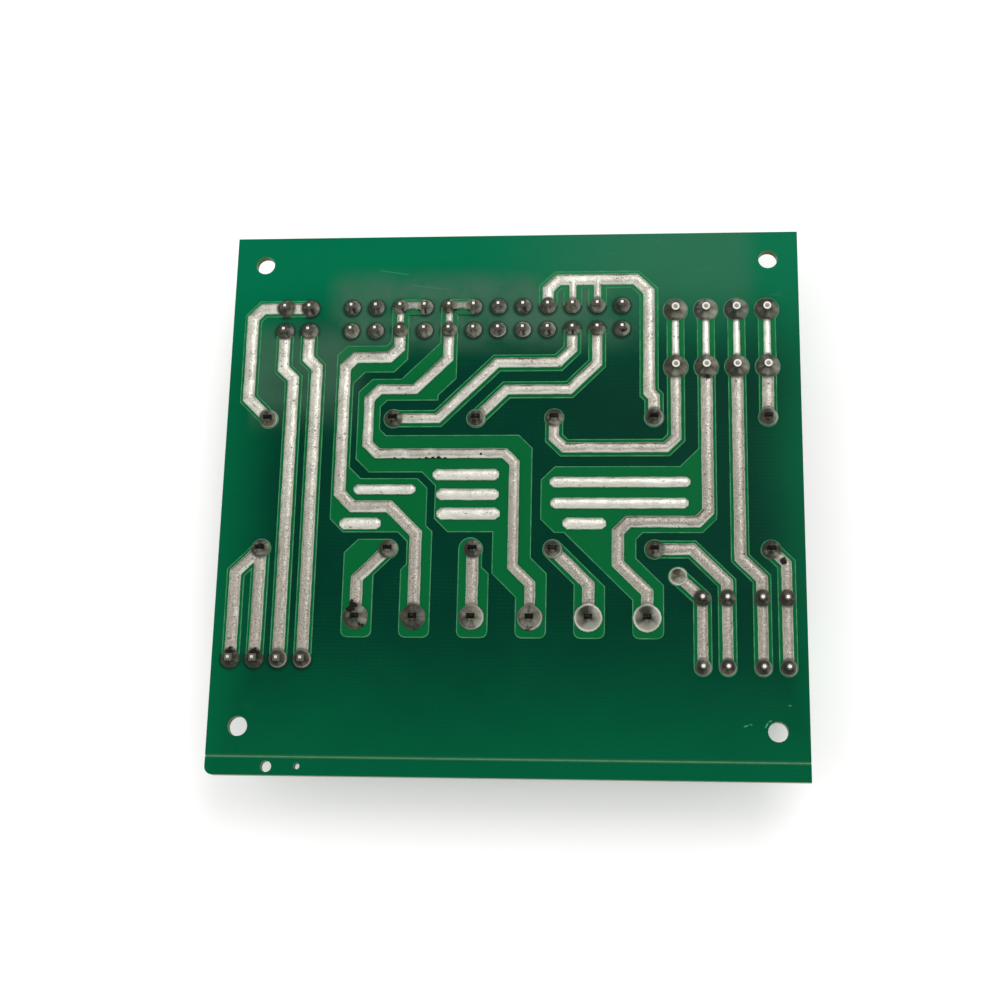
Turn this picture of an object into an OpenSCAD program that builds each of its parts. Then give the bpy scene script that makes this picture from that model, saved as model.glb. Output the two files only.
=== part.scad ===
// Fuse board, solder side up, lying on its plug headers and its barrier strip.
// A place on the board is [across, down], in mm from its far left corner.

/* [Board] */
// Length of the board, across the plug headers
board_l = 96.5; // [95:0.5:104]
// Width of the board, from the far edge to the score line
board_w = 89.8; // [89:0.2:98]
// Width of the snap-off rail beyond the score line
rail_w = 3; // [2.6:0.1:6]
// Thickness of the laminate
board_t = 1.6; // [1:0.1:2.4]
// Depth of the V-shaped score line in each face
score_d = 0.3; // [0.1:0.05:0.4]
// Radius of the rounded corner of the rail
corner_r = 1.3; // [0.5:0.1:2.5]
// Diameter of the four fixing holes
fixing_d = 3.2; // [2.6:0.1:3.8]
// Distance of the first fixing hole from the far edge and from the left edge
fixing_inset = 5; // [4:0.1:5.5]
// Spacing of the fixing holes across the board
fixing_l = 86.5; // [85.5:0.1:87.5]
// Spacing of the fixing holes down the board
fixing_w = 80; // [79:0.1:81]
// Tooling hole in the rail: across, distance beyond the score line, diameter
tooling = [10, 1.6, 1.8]; // [0.8:0.1:90]
// Small hole in the rail: across, distance beyond the score line, diameter
pilot = [15, 1.5, 1]; // [0.6:0.1:90]
// Place of the through-plated link pad
link = [76, 60.1]; // [55:0.1:80]
// Diameter of the link's hole
link_d = 0.8; // [0.5:0.05:1.2]

/* [Copper and solder] */
// Thickness of the tracks with their lacquer
copper_t = 0.1; // [0.05:0.01:0.2]
// Width of a track
track_w = 3; // [2.6:0.05:3.3]
// Width of the rake-shaped track beside the long plug header
rake_w = 3.2; // [2.8:0.05:3.3]
// Cut of a track's ordinary bend, along each leg
bend = 1.7; // [1:0.1:2.2]
// Cut of a track's long slanted bend
slant = 4.6; // [4:0.1:5]
// Cut of the first bend to the fourth pole
slant_p4 = 5.5; // [5:0.1:6]
// Copper left round each solder joint
pad_rim = 0.15; // [0.05:0.01:0.25]
// Width of the solder on a track
bead_w = 2; // [1.5:0.05:2.2]
// Width of the solder on the longer, thinner runs
slim_bead_w = 1.75; // [1.3:0.05:2]
// Width of the solder between the two pins of a pole
neck_w = 1.2; // [0.8:0.05:1.3]
// Height of the solder on a track
bead_h = 0.55; // [0.3:0.05:0.8]
// Share of a short solder bar's width and height at its two tips
bar_tip = 0.45; // [0.3:0.05:0.6]
// Height of a solder joint
joint_h = 0.95; // [0.8:0.05:1.6]
// Solder round a pin at the top of its joint
joint_lip = 0.12; // [0.08:0.02:0.2]
// Height of a solder joint's steep edge
joint_foot = 0.18; // [0.1:0.02:0.3]
// How far the pins stand out of the laminate
pin_out = 2; // [1.8:0.05:2.6]

/* [Plug headers] */
// Pitch of the plug headers, in both directions
plug_pitch = 4.2; // [4.05:0.05:4.3]
// Columns of the long plug header
plug_cols = 12; // [12:12]
// Middle of the long header's columns, across
plug_mid = 43.8; // [43.3:0.1:44.3]
// First row of the long header, down
plug_row = 13.15; // [13:0.05:13.6]
// Width of the header pins
plug_pin = 1.07; // [0.9:0.01:1.2]
// Radius of the joints of the long header
plug_joint = 1.35; // [1.25:0.05:1.5]
// First pin of the small plug header: across, down
small_plug = [9.2, 13.2]; // [8:0.05:14]
// Radius of the joints of the small header
small_joint = 1.5; // [1.3:0.05:1.6]
// Height of the plug headers and of the barrier strip, which carry the board
stand_h = 12.8; // [12:0.1:16]
// Thickness of the outer wall beyond the cells
plug_rim = 0.6; // [0.4:0.05:0.8]
// Wall between two cells
cell_wall = 0.7; // [0.5:0.05:1]
// Thickness of the floor of the cells
cell_floor = 2.8; // [2:0.1:4]
// Corner cut of a keyed cell
cell_key = 0.9; // [0.5:0.05:1.2]
// How far the pins stay back from the mouth
pin_back = 3; // [2:0.1:4]
// Length, thickness and height of the catch on the long wall
catch = [3.4, 1.3, 3]; // [1:0.1:4.5]
// Catch's slope, and its distance from the mouth
catch_place = [0.9, 3]; // [0.5:0.1:4]
// Width and depth of the channel between the rows of pins, against the board
channel = [1.7, 0.5]; // [0.3:0.1:2]

/* [Four-pin header] */
// Pitch of the four-pin header
row_pitch = 3.96; // [3.8:0.01:4.05]
// First pin: across, down
row_first = [3.15, 74]; // [3:0.05:75]
// Width of the pins
row_pin = 1.14; // [0.9:0.01:1.25]
// Radius of the joints
row_joint = 1.5; // [1.35:0.05:1.65]
// Width of the strip that holds the pins
row_strip_w = 6.2; // [5:0.1:7.5]
// Height of the strip
row_strip_h = 3.2; // [2.4:0.1:4]
// Length of the pins below the strip
row_pin_l = 8.2; // [7:0.1:8.8]
// Thickness of the locking wall
row_wall_t = 1.2; // [0.9:0.05:1.5]
// Height of the locking wall above the strip
row_wall_h = 6.4; // [5:0.1:7]
// Ridge of the locking wall: how far it stands out, its start and its crest above the strip
row_ridge = [0.5, 3.5, 4.5]; // [0.3:0.1:4.8]
// Notch between two pins of the strip
row_notch = 0.5; // [0.2:0.1:0.8]

/* [Clamp terminals] */
// Pitch of the four-pole clamp terminal
four_pitch = 5.08; // [4.95:0.01:5.2]
// Its first pin: across, down
four_first = [75.85, 14.1]; // [14:0.05:76]
// Spacing of its two rows of pins
four_rows = 10.16; // [10:0.01:10.6]
// Pitch of the two-pole clamp terminals
pair_pitch = 3.96; // [3.8:0.01:4.05]
// First pins across: left terminal, right terminal
pair_across = [79.85, 89.4]; // [79.7:0.05:89.8]
// Their first row, down
pair_down = 63.7; // [63:0.05:64.5]
// Spacing of their two rows of pins
pair_rows = 11.2; // [11:0.01:11.6]
// Diameter of the pins of the four-pole terminal
four_pin_d = 1.3; // [1:0.05:1.5]
// Diameter of the pins of the two-pole terminals
pair_pin_d = 1; // [0.8:0.05:1.2]
// Radius of the joints of the four-pole terminal
four_joint = 2; // [1.8:0.05:2.15]
// Radius of the joints of the two-pole terminals
pair_joint = 1.35; // [1.2:0.05:1.45]
// Height of the clamp terminals
clamp_h = 11; // [10.4:0.1:12]
// Body in front of the first row of pins and behind the second
clamp_over = [3.2, 2.6]; // [2:0.1:3.4]
// Wall between two wire chambers
clamp_wall = 1; // [0.8:0.05:1.2]
// Thickness of the bus bar that joins a pole's pins
bus_t = 1; // [0.7:0.05:1.2]
// Height of the bus bar's far face above the board
bus_z = 2.6; // [2.2:0.1:3]
// Height of a wire chamber
chamber_h = 4.6; // [4.2:0.1:5]
// Depth of a wire chamber behind the first row of pins
chamber_l = 5.6; // [5:0.1:6.4]
// Slope at the back of a clamp terminal: depth, height
clamp_slope = [2.6, 4.4]; // [1.5:0.1:5]
// Wall over the mouth of a wire chamber
clamp_brow = 1; // [0.6:0.1:1.4]
// Thickness of the clamp's sheet
cage_t = 0.6; // [0.4:0.05:0.8]
// Radius and height of a clamp screw's head
clamp_head = [1.35, 1.6]; // [1.1:0.05:2]
// Width and depth of a clamp screw's slot
clamp_slot = [0.5, 0.6]; // [0.3:0.1:0.8]
// Radius of a clamp screw's shank
clamp_shank = 0.8; // [0.6:0.05:0.95]
// How far a clamp screw reaches into the chamber
clamp_reach = 1.6; // [1:0.1:2.4]

/* [Barrier strip] */
// Poles of the barrier strip
poles = 6; // [6:6]
// Pitch of the poles
pole_pitch = 9.5; // [9.4:0.02:9.6]
// Pin of the first pole: across, down
pole_first = [23.5, 67]; // [23.2:0.05:67.4]
// Width and thickness of a pole's pin
pole_pin = [1.3, 0.8]; // [0.6:0.05:1.5]
// Radius of the joints of the first four poles
pole_joint = 2.1; // [1.9:0.05:2.2]
// Radius of the joints of the last two poles
wet_joint = 2.3; // [2.1:0.05:2.4]
// Body behind the pins and in front of them
strip_over = [5.5, 11]; // [4.5:0.1:12]
// Height of the strip's base
strip_base = 5.2; // [4.6:0.1:5.8]
// Thickness of the barriers and of the back wall
barrier_t = 1.4; // [1:0.1:1.8]
// Slope at a barrier's front corner: depth, height
barrier_cut = [2, 3.4]; // [1:0.1:5]
// Thickness of a terminal plate
plate_t = 0.8; // [0.6:0.05:1.2]
// Distance of a terminal screw from the pins
pole_screw = 3.2; // [3:0.05:3.6]
// Terminal plate's distance from the front of the strip
plate_back = 0.6; // [0.3:0.1:1]
// Radius and height of a terminal screw's head
pole_head = [3, 2]; // [1.6:0.05:3.2]
// Radius of the head's flat top, and height of its straight edge
pole_crown = [2.25, 1.2]; // [0.8:0.05:2.5]
// Length, width and depth of the cross slots
pole_slot = [4.2, 0.8, 1]; // [0.6:0.1:4.6]
// Radius of a terminal screw's shank
pole_shank = 1.75; // [1.5:0.05:1.9]
// Distance of the shank's end from the board
shank_gap = 1; // [0.4:0.1:2]
// Side and thickness of a square washer
washer = [6.6, 0.8]; // [0.6:0.05:7]

/* [Fuses and holders] */
// Places of the six fuses across the board
fuse_across = [7.2, 28.5, 42.5, 55.6, 72.2, 91]; // [7:0.1:91.2]
// Upper pins of the holders, down
fuse_down = 33.1; // [32.8:0.05:33.6]
// Spacing of a holder's two pins
holder_pins = 22.5; // [22.2:0.05:23]
// Width and thickness of a holder's pin
holder_pin = [1.4, 0.6]; // [0.5:0.05:1.6]
// Radius of the joints of the holders
holder_joint = 1.55; // [1.4:0.05:1.65]
// Width of a holder
holder_w = 9.6; // [9:0.1:10.4]
// Holder beyond its pins at each end
holder_over = 2.75; // [2.4:0.05:3]
// Thickness of a holder's floor
holder_floor = 2; // [1.4:0.1:2.6]
// Thickness of a holder's end walls
holder_end = 1.5; // [1:0.1:1.7]
// Height of a holder's end walls
holder_h = 8; // [7:0.1:9]
// Corner cut of the end walls
holder_corner = 1.6; // [1:0.1:2]
// Thickness and height of a holder's side rails
holder_rail = [0.8, 3.6]; // [0.6:0.1:4.2]
// Thickness of the contact sheet
clip_t = 0.4; // [0.3:0.02:0.5]
// Width of a contact's foot
clip_foot = 3; // [2.4:0.1:3.6]
// Half of the opening angle at the mouth of a clip
clip_mouth = 48; // [40:1:60]
// Cap that shows beyond a clip: towards the glass, towards the end
clip_margin = [0.3, 0.6]; // [0.1:0.1:1]
// Length of a clip's flared lips
clip_lip = 1.1; // [0.8:0.1:1.6]
// Length of a fuse
fuse_l = 20; // [19.6:0.1:20.4]
// Radius of a fuse's caps
cap_r = 2.6; // [2.4:0.05:2.8]
// Length of a fuse's caps
cap_l = 5; // [4.4:0.1:5.6]
// Thickness of a cap
cap_t = 0.2; // [0.12:0.02:0.3]
// Wall of the glass tube
glass_t = 0.5; // [0.35:0.05:0.7]
// Diameter of the fuse wire
wire_d = 0.3; // [0.1:0.05:0.5]

/* [Fits] */
// Gap round a pin in its solder or in its plastic
fit = 0.03; // [0.01:0.01:0.06]
// Gap round a pin in the laminate
drill_gap = 0.1; // [0.05:0.01:0.15]
// Gap round a moving or clipped-in part
play = 0.05; // [0.02:0.01:0.1]

/* [Track lanes] */
// Left lane of the first fuse
lane_f1 = 3.5; // [3.3:0.05:3.8]
// Rows where the two middle tracks of the four-pin header step sideways
step_row = [24.1, 22.3]; // [21.5:0.05:25]
// Lanes to the second pole: left column, upper row, lower row
lane_p2 = [19.93, 22.2, 48.4]; // [19:0.05:49]
// Lanes to the fourth pole: left column, upper row, middle row, right column, last slope's row
lane_p4 = [24.3, 27.95, 39.25, 49.1, 58.6]; // [24:0.05:59]
// Row to the second fuse, and where its slope begins
lane_f2 = [23.3, 45.8]; // [23:0.05:46]
// Row to the third fuse
lane_f3 = 28.1; // [27.9:0.05:28.5]
// Row and column of the rake, and the row where it steps over to its fuse
lane_f5 = [8.4, 71.4, 28.7]; // [8.2:0.05:72]
// Row to the fourth fuse
lane_f4 = 38.3; // [38:0.05:38.8]
// Row and column to the last pole, and its last slope's row
lane_p6 = [51, 66.25, 58]; // [50.5:0.05:67]
// Where the slope to the left clamp terminal begins
lane_t5 = 78.3; // [77.8:0.05:78.6]
// Row where the track to the right clamp terminal steps sideways
lane_t6 = 57; // [56.5:0.05:57.5]

/* [Copper fields] */
// Upper elbow of the second pole: left, top, right, bottom
elbow_p2 = [18.4, 20, 30.6, 24.85]; // [18:0.05:31]
// Field of the second pole: left, top, right, bottom
field_p2 = [18.45, 43.5, 34.65, 52.8]; // [18:0.05:53]
// Upper row of the fourth pole: left, top, right, bottom
elbow_p4 = [22.35, 26, 36, 29.9]; // [22:0.05:37]
// Middle row of the fourth pole: left, top, right, bottom
row_p4 = [22.4, 36, 52.05, 42.5]; // [22:0.05:53]
// Field of the fourth pole: left, top, right, bottom
field_p4 = [35.9, 40, 52.05, 52.75]; // [35:0.05:53]
// Field of the last pole: left, top, right, bottom
field_p6 = [53.5, 41.5, 82.35, 52.85]; // [41:0.05:83]
// Rows where the left and right edges of the second pole's copper step sideways
column_p2 = [58, 51.6]; // [51:0.05:59]
// Reach of the slanted copper below the fourth pole's first pin
web_p4 = 6.4; // [6:0.1:6.8]
// Fourth pole's copper: left edge, and the rows where its left and right edges step sideways
column_p4 = [45.65, 59.7, 57]; // [45:0.05:60]
// Last pole's copper: left edge, right edge, and the row where the right edge steps sideways
column_p6 = [57.4, 69.25, 57.1]; // [57:0.05:70]
// Row where the right edge of the third pole's copper steps sideways
column_p3 = 58.6; // [58:0.05:59.2]
// Lower edge of the copper at the barrier strip
pole_edge = 70.4; // [70:0.05:71]
// Copper beyond a pole's pin on its left and right
pole_side = [2.4, 2.7]; // [2.2:0.05:2.9]
// Cut of a field's large corners
field_cut = 2.3; // [1.5:0.05:2.6]
// Cut of a field's small corners
small_cut = 1.1; // [0.6:0.05:1.6]
// Copper that fills an inner corner
inner_cut = 2; // [1:0.1:2.4]
// Copper that fills the corner below a header pin
pin_cut = 0.8; // [0.4:0.1:1]

/* [Hidden] */
$fn = 48;

// How far a cut runs past the face that it opens
past = 1;
// Overlap that keeps two faces from lying in one plane
skin = 0.01;
// Share of a pin's thickness that each side of its tip tapers by
pin_taper = 0.3;

// Solder bars on the copper fields: start and end across, row down, width
bars = [
    [22.3, 32.65, 45.5, 1.75],
    [20.2, 27.1, 51.35, 2.05],
    [35.5, 46.6, 42.95, 1.95],
    [36.2, 46.6, 46.35, 2],
    [36.3, 46.8, 49.65, 2.1],
    [55, 78.1, 44.25, 1.8],
    [55.2, 77.8, 47.85, 1.85],
    [57.2, 64.3, 51.3, 2]];

// Levels
depth = board_w + rail_w;
face_z = stand_h + board_t;
solder_z = face_z + copper_t;

// ---- Places ----

function at(p) = [p.x - board_l / 2, depth / 2 - p.y];
function long_pin(c, r) = [plug_mid + (c - (plug_cols - 1) / 2) * plug_pitch, plug_row + r * plug_pitch];
function small_pin(c, r) = small_plug + [c, r] * plug_pitch;
function row_at(i) = row_first + [i * row_pitch, 0];
function four_at(c, r) = four_first + [c * four_pitch, r * four_rows];
function pair_at(side, c, r) = [pair_across[side] + c * pair_pitch, pair_down + r * pair_rows];
function pole_at(i) = pole_first + [i * pole_pitch, 0];
function fuse_at(i, end) = [fuse_across[i], fuse_down + end * holder_pins];

long_pins = [for (r = [0, 1], c = [0 : plug_cols - 1]) long_pin(c, r)];
small_pins = [for (r = [0, 1], c = [0, 1]) small_pin(c, r)];
row_pins = [for (i = [0 : 3]) row_at(i)];
four_pins = [for (r = [0, 1], c = [0 : 3]) four_at(c, r)];
pair_pins = [for (side = [0, 1], r = [0, 1], c = [0, 1]) pair_at(side, c, r)];
dry_poles = [for (i = [0 : poles - 3]) pole_at(i)];
wet_poles = [for (i = [poles - 2 : poles - 1]) pole_at(i)];
fuse_pins = [for (i = [0 : 5], end = [0, 1]) fuse_at(i, end)];

// Hole in the laminate for a pin of a given width and thickness
function drill(w, t) = norm([w, t]) / 2 + drill_gap;

// Every pin group: places, joint radius, drilled radius
groups = [
    [long_pins, plug_joint, drill(plug_pin, plug_pin)],
    [small_pins, small_joint, drill(plug_pin, plug_pin)],
    [row_pins, row_joint, drill(row_pin, row_pin)],
    [four_pins, four_joint, four_pin_d / 2 + drill_gap],
    [pair_pins, pair_joint, pair_pin_d / 2 + drill_gap],
    [dry_poles, pole_joint, drill(pole_pin.x, pole_pin.y)],
    [wet_poles, wet_joint, drill(pole_pin.x, pole_pin.y)],
    [fuse_pins, holder_joint, drill(holder_pin.x, holder_pin.y)],
    [[link], small_joint, link_d / 2]];

// ---- Routes ----

function xy(p) = [p.x, p.y];
function unit(v) = v / norm(v);
function back(list) = [for (i = [len(list) - 1 : -1 : 0]) list[i]];

// A route's point may carry the cut of its corner as a third number
function bent(route) = [for (i = [0 : len(route) - 1])
    let (p = xy(route[i]), cut = len(route[i]) > 2 ? route[i].z : 0)
    each cut == 0 ? [p] : [p + cut * unit(xy(route[i - 1]) - p), p + cut * unit(xy(route[i + 1]) - p)]];

// The same route with its ends drawn back from the middles of its joints
function drawn_back(route, start, end) = let (last = len(route) - 1)
    [for (i = [0 : last])
        i == 0 ? route[0] + start * unit(route[1] - route[0])
        : i == last ? route[last] + end * unit(route[last - 1] - route[last])
        : route[i]];

// Direction across a route at one of its points, longer at a corner so that widths hold
function across(route, i) =
    let (last = len(route) - 1,
        before = unit(route[max(i, 1)] - route[max(i, 1) - 1]),
        after = unit(route[min(i, last - 1) + 1] - route[min(i, last - 1)]),
        n1 = [-before.y, before.x],
        n2 = [-after.y, after.x])
    (n1 + n2) / (1 + n1 * n2);

function strip(route, w) = concat(
    [for (i = [0 : len(route) - 1]) route[i] + across(route, i) * w / 2],
    back([for (i = [0 : len(route) - 1]) route[i] - across(route, i) * w / 2]));

// Straight down from a, a 45 degree step at the given row, and straight down to b
function stepped(a, b, row) = [a, [a.x, row], [b.x, row + abs(b.x - a.x)], b];

p2_top = long_pin(2, 1);
p4_top = long_pin(4, 1);
f2_top = long_pin(9, 1);
f3_top = long_pin(10, 1);
rake_pin = long_pin(8, 0);

// Long runs: route, solder width, joint radius at each end, copper width
runs = [
    [[small_pin(1, 0), small_pin(0, 0)], bead_w, small_joint, small_joint, track_w],
    [[small_pin(0, 0), [lane_f1, small_plug.y, bend],
        [lane_f1, fuse_down - (fuse_across[0] - lane_f1)], fuse_at(0, 0)],
        bead_w, small_joint, holder_joint, track_w],
    [[fuse_at(0, 1), [row_at(0).x, fuse_at(0, 1).y + fuse_across[0] - row_at(0).x], row_at(0)],
        bead_w, holder_joint, row_joint, track_w],
    [[fuse_at(0, 1), row_at(1)], bead_w, holder_joint, row_joint, track_w],
    [stepped(small_pin(0, 1), row_at(2), step_row[0]), bead_w, small_joint, row_joint, track_w],
    [stepped(small_pin(1, 1), row_at(3), step_row[1]), bead_w, small_joint, row_joint, track_w],
    [[long_pin(3, 0), long_pin(2, 0)], bead_w, plug_joint, plug_joint, track_w],
    [[long_pin(2, 0), p2_top], neck_w, plug_joint, plug_joint, track_w],
    [[p2_top, [p2_top.x, lane_p2[1], bend], [lane_p2[0], lane_p2[1], bend],
        [lane_p2[0], lane_p2[2], field_cut], [pole_at(1).x, lane_p2[2], slant], pole_at(1)],
        bead_w, plug_joint, pole_joint, track_w],
    [[long_pin(5, 0), long_pin(4, 0)], bead_w, plug_joint, plug_joint, track_w],
    [[long_pin(4, 0), p4_top], neck_w, plug_joint, plug_joint, track_w],
    [[p4_top, [p4_top.x, lane_p4[1], slant_p4], [lane_p4[0], lane_p4[1], bend],
        [lane_p4[0], lane_p4[2], bend], [lane_p4[3], lane_p4[2], bend], [lane_p4[3], lane_p4[4]],
        [pole_at(3).x, lane_p4[4] + pole_at(3).x - lane_p4[3]], pole_at(3)],
        slim_bead_w, plug_joint, pole_joint, track_w],
    [[f2_top, [f2_top.x, lane_f2[0], field_cut], lane_f2[1] * [1, 0] + [0, lane_f2[0]],
        [lane_f2[1] - (fuse_down - lane_f2[0]), fuse_down], fuse_at(1, 0)],
        slim_bead_w, plug_joint, holder_joint, track_w],
    [[f3_top, [f3_top.x, lane_f3, slant], [fuse_across[2] + fuse_down - lane_f3, lane_f3], fuse_at(2, 0)],
        slim_bead_w, plug_joint, holder_joint, track_w],
    [[rake_pin, [rake_pin.x, lane_f5[0], bend], [lane_f5[1], lane_f5[0], field_cut],
        [lane_f5[1], lane_f5[2]], [fuse_across[4], lane_f5[2] + fuse_across[4] - lane_f5[1]],
        fuse_at(4, 0)],
        bead_w, plug_joint, holder_joint, rake_w],
    [[[long_pin(9, 0).x, lane_f5[0]], long_pin(9, 0)], neck_w, bead_w / 2, plug_joint, rake_w],
    [[[long_pin(10, 0).x, lane_f5[0]], long_pin(10, 0)], neck_w, bead_w / 2, plug_joint, rake_w],
    [[four_at(0, 1), [four_at(0, 1).x, lane_f4, bend], [fuse_across[3], lane_f4, bend], fuse_at(3, 0)],
        slim_bead_w, four_joint, holder_joint, track_w],
    [[four_at(1, 1), [four_at(1, 1).x, lane_p6[0], bend], [lane_p6[1], lane_p6[0], bend],
        [lane_p6[1], lane_p6[2]], [pole_at(5).x, lane_p6[2] + pole_at(5).x - lane_p6[1]], pole_at(5)],
        bead_w, four_joint, wet_joint, track_w],
    [stepped(four_at(2, 1), pair_at(1, 0, 0), lane_t6), bead_w, four_joint, pair_joint, track_w],
    [[four_at(3, 1), fuse_at(5, 0)], bead_w, four_joint, holder_joint, track_w],
    [[link, pair_at(0, 0, 0)], slim_bead_w, small_joint, pair_joint, track_w],
    [[fuse_at(4, 1), [lane_t5, fuse_at(4, 1).y],
        [pair_at(0, 1, 0).x, fuse_at(4, 1).y + pair_at(0, 1, 0).x - lane_t5], pair_at(0, 1, 0)],
        bead_w, holder_joint, pair_joint, track_w],
    [[fuse_at(5, 1), [pair_at(1, 1, 0).x, fuse_at(5, 1).y + pair_at(1, 1, 0).x - fuse_across[5]],
        pair_at(1, 1, 0)],
        slim_bead_w, holder_joint, pair_joint, track_w],
    [[fuse_at(1, 1), [pole_at(0).x, fuse_at(1, 1).y + fuse_across[1] - pole_at(0).x], pole_at(0)],
        bead_w, holder_joint, pole_joint, track_w],
    [[fuse_at(2, 1), pole_at(2)], bead_w, holder_joint, pole_joint, track_w],
    [[fuse_at(3, 1), [pole_at(4).x, fuse_at(3, 1).y + pole_at(4).x - fuse_across[3]], pole_at(4)],
        bead_w, holder_joint, wet_joint, 2 * (holder_joint + pad_rim)]];

// Short runs between the two pins of a pole
necks = concat(
    [for (c = [0 : 3]) [[four_at(c, 0), four_at(c, 1)], neck_w, four_joint, four_joint, track_w]],
    [for (side = [0, 1], c = [0, 1])
        [[pair_at(side, c, 0), pair_at(side, c, 1)], slim_bead_w, pair_joint, pair_joint, track_w]]);

// ---- Board ----

module place(p) {
    translate(at(p)) children();
}

module rail_corner() {
    difference() {
        square(corner_r);
        translate([corner_r, corner_r]) circle(corner_r);
    }
}

module score(level, way) {
    translate([-board_l, depth / 2 - board_w, level])
        rotate([90, 0, 90])
        linear_extrude(2 * board_l)
        polygon([[-score_d, 0], [score_d, 0], [0, way * score_d]]);
}

module circuit_board() color("darkgreen") difference() {
    translate([0, 0, stand_h]) linear_extrude(board_t) difference() {
        square([board_l, depth], center = true);
        translate([-board_l / 2, -depth / 2]) rail_corner();
        for (u = [0, fixing_l], v = [0, fixing_w])
            place([fixing_inset + u, fixing_inset + v]) circle(d = fixing_d);
        place([tooling[0], board_w + tooling[1]]) circle(d = tooling[2]);
        place([pilot[0], board_w + pilot[1]]) circle(d = pilot[2]);
        for (g = groups, p = g[0]) place(p) circle(g[2]);
    }
    score(face_z, -1);
    score(stand_h, 1);
}

// ---- Copper ----

module foil() {
    linear_extrude(copper_t) children();
}

// Rectangle with a cut for each corner: far left, far right, near right, near left
module field(box, cuts) {
    l = box[0];
    t = box[1];
    r = box[2];
    b = box[3];
    foil() polygon([for (p = [
        [l, t + cuts[0]], [l + cuts[0], t], [r - cuts[1], t], [r, t + cuts[1]],
        [r, b - cuts[2]], [r - cuts[2], b], [l + cuts[3], b], [l, b - cuts[3]]]) at(p)]);
}

// Triangle that fills an inner corner
module gusset(p, across, down) {
    foil() polygon([at(p), at(p + [across, 0]), at(p + [0, down])]);
}

// Round corner at p, between two directions along its edges
function rounded(p, before, after, cut) =
    [for (a = [0 : 30 : 90]) p + cut * (before * (1 - sin(a)) + after * (1 - cos(a)))];

// Column of copper whose left and right edges each step sideways by 45 degrees
module column(top, left, right, steps) {
    foil() polygon([for (p = concat(
        [[left[0], top], [right[0], top], [right[0], steps[1]]],
        [[right[1], steps[1] + abs(right[1] - right[0])]],
        rounded([right[1], pole_edge], [0, -1], [-1, 0], small_cut),
        rounded([left[1], pole_edge], [1, 0], [0, -1], small_cut),
        [[left[1], steps[0] + abs(left[1] - left[0])], [left[0], steps[0]]])) at(p)]);
}

function pole_left(i) = pole_at(i).x - pole_side[0];
function pole_right(i) = pole_at(i).x + pole_side[1];

module second_pole_copper() {
    field(elbow_p2, [bend, 0, field_cut, 0]);
    gusset([elbow_p2[0] + track_w, elbow_p2[3]], inner_cut, inner_cut);
    gusset([p2_top.x - track_w / 2, elbow_p2[1]], -pin_cut, -pin_cut);
    field(field_p2, [0, bend, 0, field_cut]);
    gusset([elbow_p2[0] + track_w, field_p2[1]], inner_cut, -inner_cut);
    gusset([field_p2[2] - track_w, field_p2[3]], -bend, bend);
    column(field_p2[3] - field_cut, [field_p2[2] - track_w, pole_left(1)], [field_p2[2], pole_right(1)],
        column_p2);
}

module fourth_pole_copper() {
    lane = elbow_p4[3] - elbow_p4[1];
    left = p4_top.x - track_w / 2;
    right = p4_top.x + track_w / 2;
    field(elbow_p4, [field_cut, 0, 0, 0]);
    foil() polygon([for (p = [
        [left, elbow_p4[1] - web_p4], [right, elbow_p4[1] - web_p4], [right, elbow_p4[1]],
        [right - lane, elbow_p4[3]], [left - web_p4, elbow_p4[3]], [left - web_p4, elbow_p4[1]]]) at(p)]);
    field([elbow_p4[0], elbow_p4[1] + field_cut, elbow_p4[0] + lane, row_p4[3] - field_cut], [0, 0, 0, 0]);
    gusset([elbow_p4[0] + lane, elbow_p4[3]], small_cut, small_cut);
    gusset([elbow_p4[0] + lane, row_p4[1]], small_cut, -small_cut);
    field(row_p4, [0, field_cut, 0, field_cut]);
    field(field_p4, [0, 0, 0, field_cut]);
    gusset([field_p4[0], row_p4[3]], -field_cut, field_cut);
    column(field_p4[3] - field_cut, [column_p4[0], pole_left(3)], [field_p4[2], pole_right(3)],
        [column_p4[1], column_p4[2]]);
}

module last_pole_copper() {
    edge = four_at(1, 1).x - track_w / 2;
    field(field_p6, [field_cut, 0, field_cut, field_cut]);
    gusset([edge, field_p6[1]], -track_w, -track_w);
    column(field_p6[3] - small_cut, [column_p6[0], pole_left(5)], [column_p6[1], pole_right(5)],
        [field_p6[3], column_p6[2]]);
    gusset([column_p6[1], field_p6[3]], small_cut, small_cut);
}

module first_pole_copper() {
    pin = fuse_at(1, 1);
    top = pin.y - holder_joint - pad_rim;
    foil() polygon([for (p = concat(
        [[pole_left(0) + field_cut, top], [pin.x, top], [pin.x, pin.y], [pole_right(0), pin.y + field_cut]],
        rounded([pole_right(0), pole_edge], [0, -1], [-1, 0], small_cut),
        rounded([pole_left(0), pole_edge], [1, 0], [0, -1], small_cut),
        [[pole_left(0), top + field_cut]])) at(p)]);
}

// Round at the top, where the copper is as wide as its column
module third_pole_copper() {
    pin = fuse_at(2, 1);
    edge = pin.x + holder_joint;
    wide = (edge - pole_left(2)) / 2;
    place([edge - wide, pin.y]) cylinder(copper_t, r = wide);
    column(pin.y, [pole_left(2), pole_left(2)], [edge, pole_right(2)], [pole_edge - bend, column_p3]);
}

// Cut along the slanted edges of the track that comes down to it
module fifth_pole_copper() {
    pin = fuse_at(3, 1);
    lean = sqrt(2) * (holder_joint + pad_rim);
    left = pole_left(4);
    right = pole_right(4);
    foil() polygon([for (p = concat(
        [[left, pin.y + left - pin.x + lean], [pin.x, pin.y + lean], [pin.x + lean, pin.y]],
        [[right, pin.y + right - pin.x - lean]],
        rounded([right, pole_edge], [0, -1], [-1, 0], small_cut),
        rounded([left, pole_edge], [1, 0], [0, -1], small_cut))) at(p)]);
}

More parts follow.
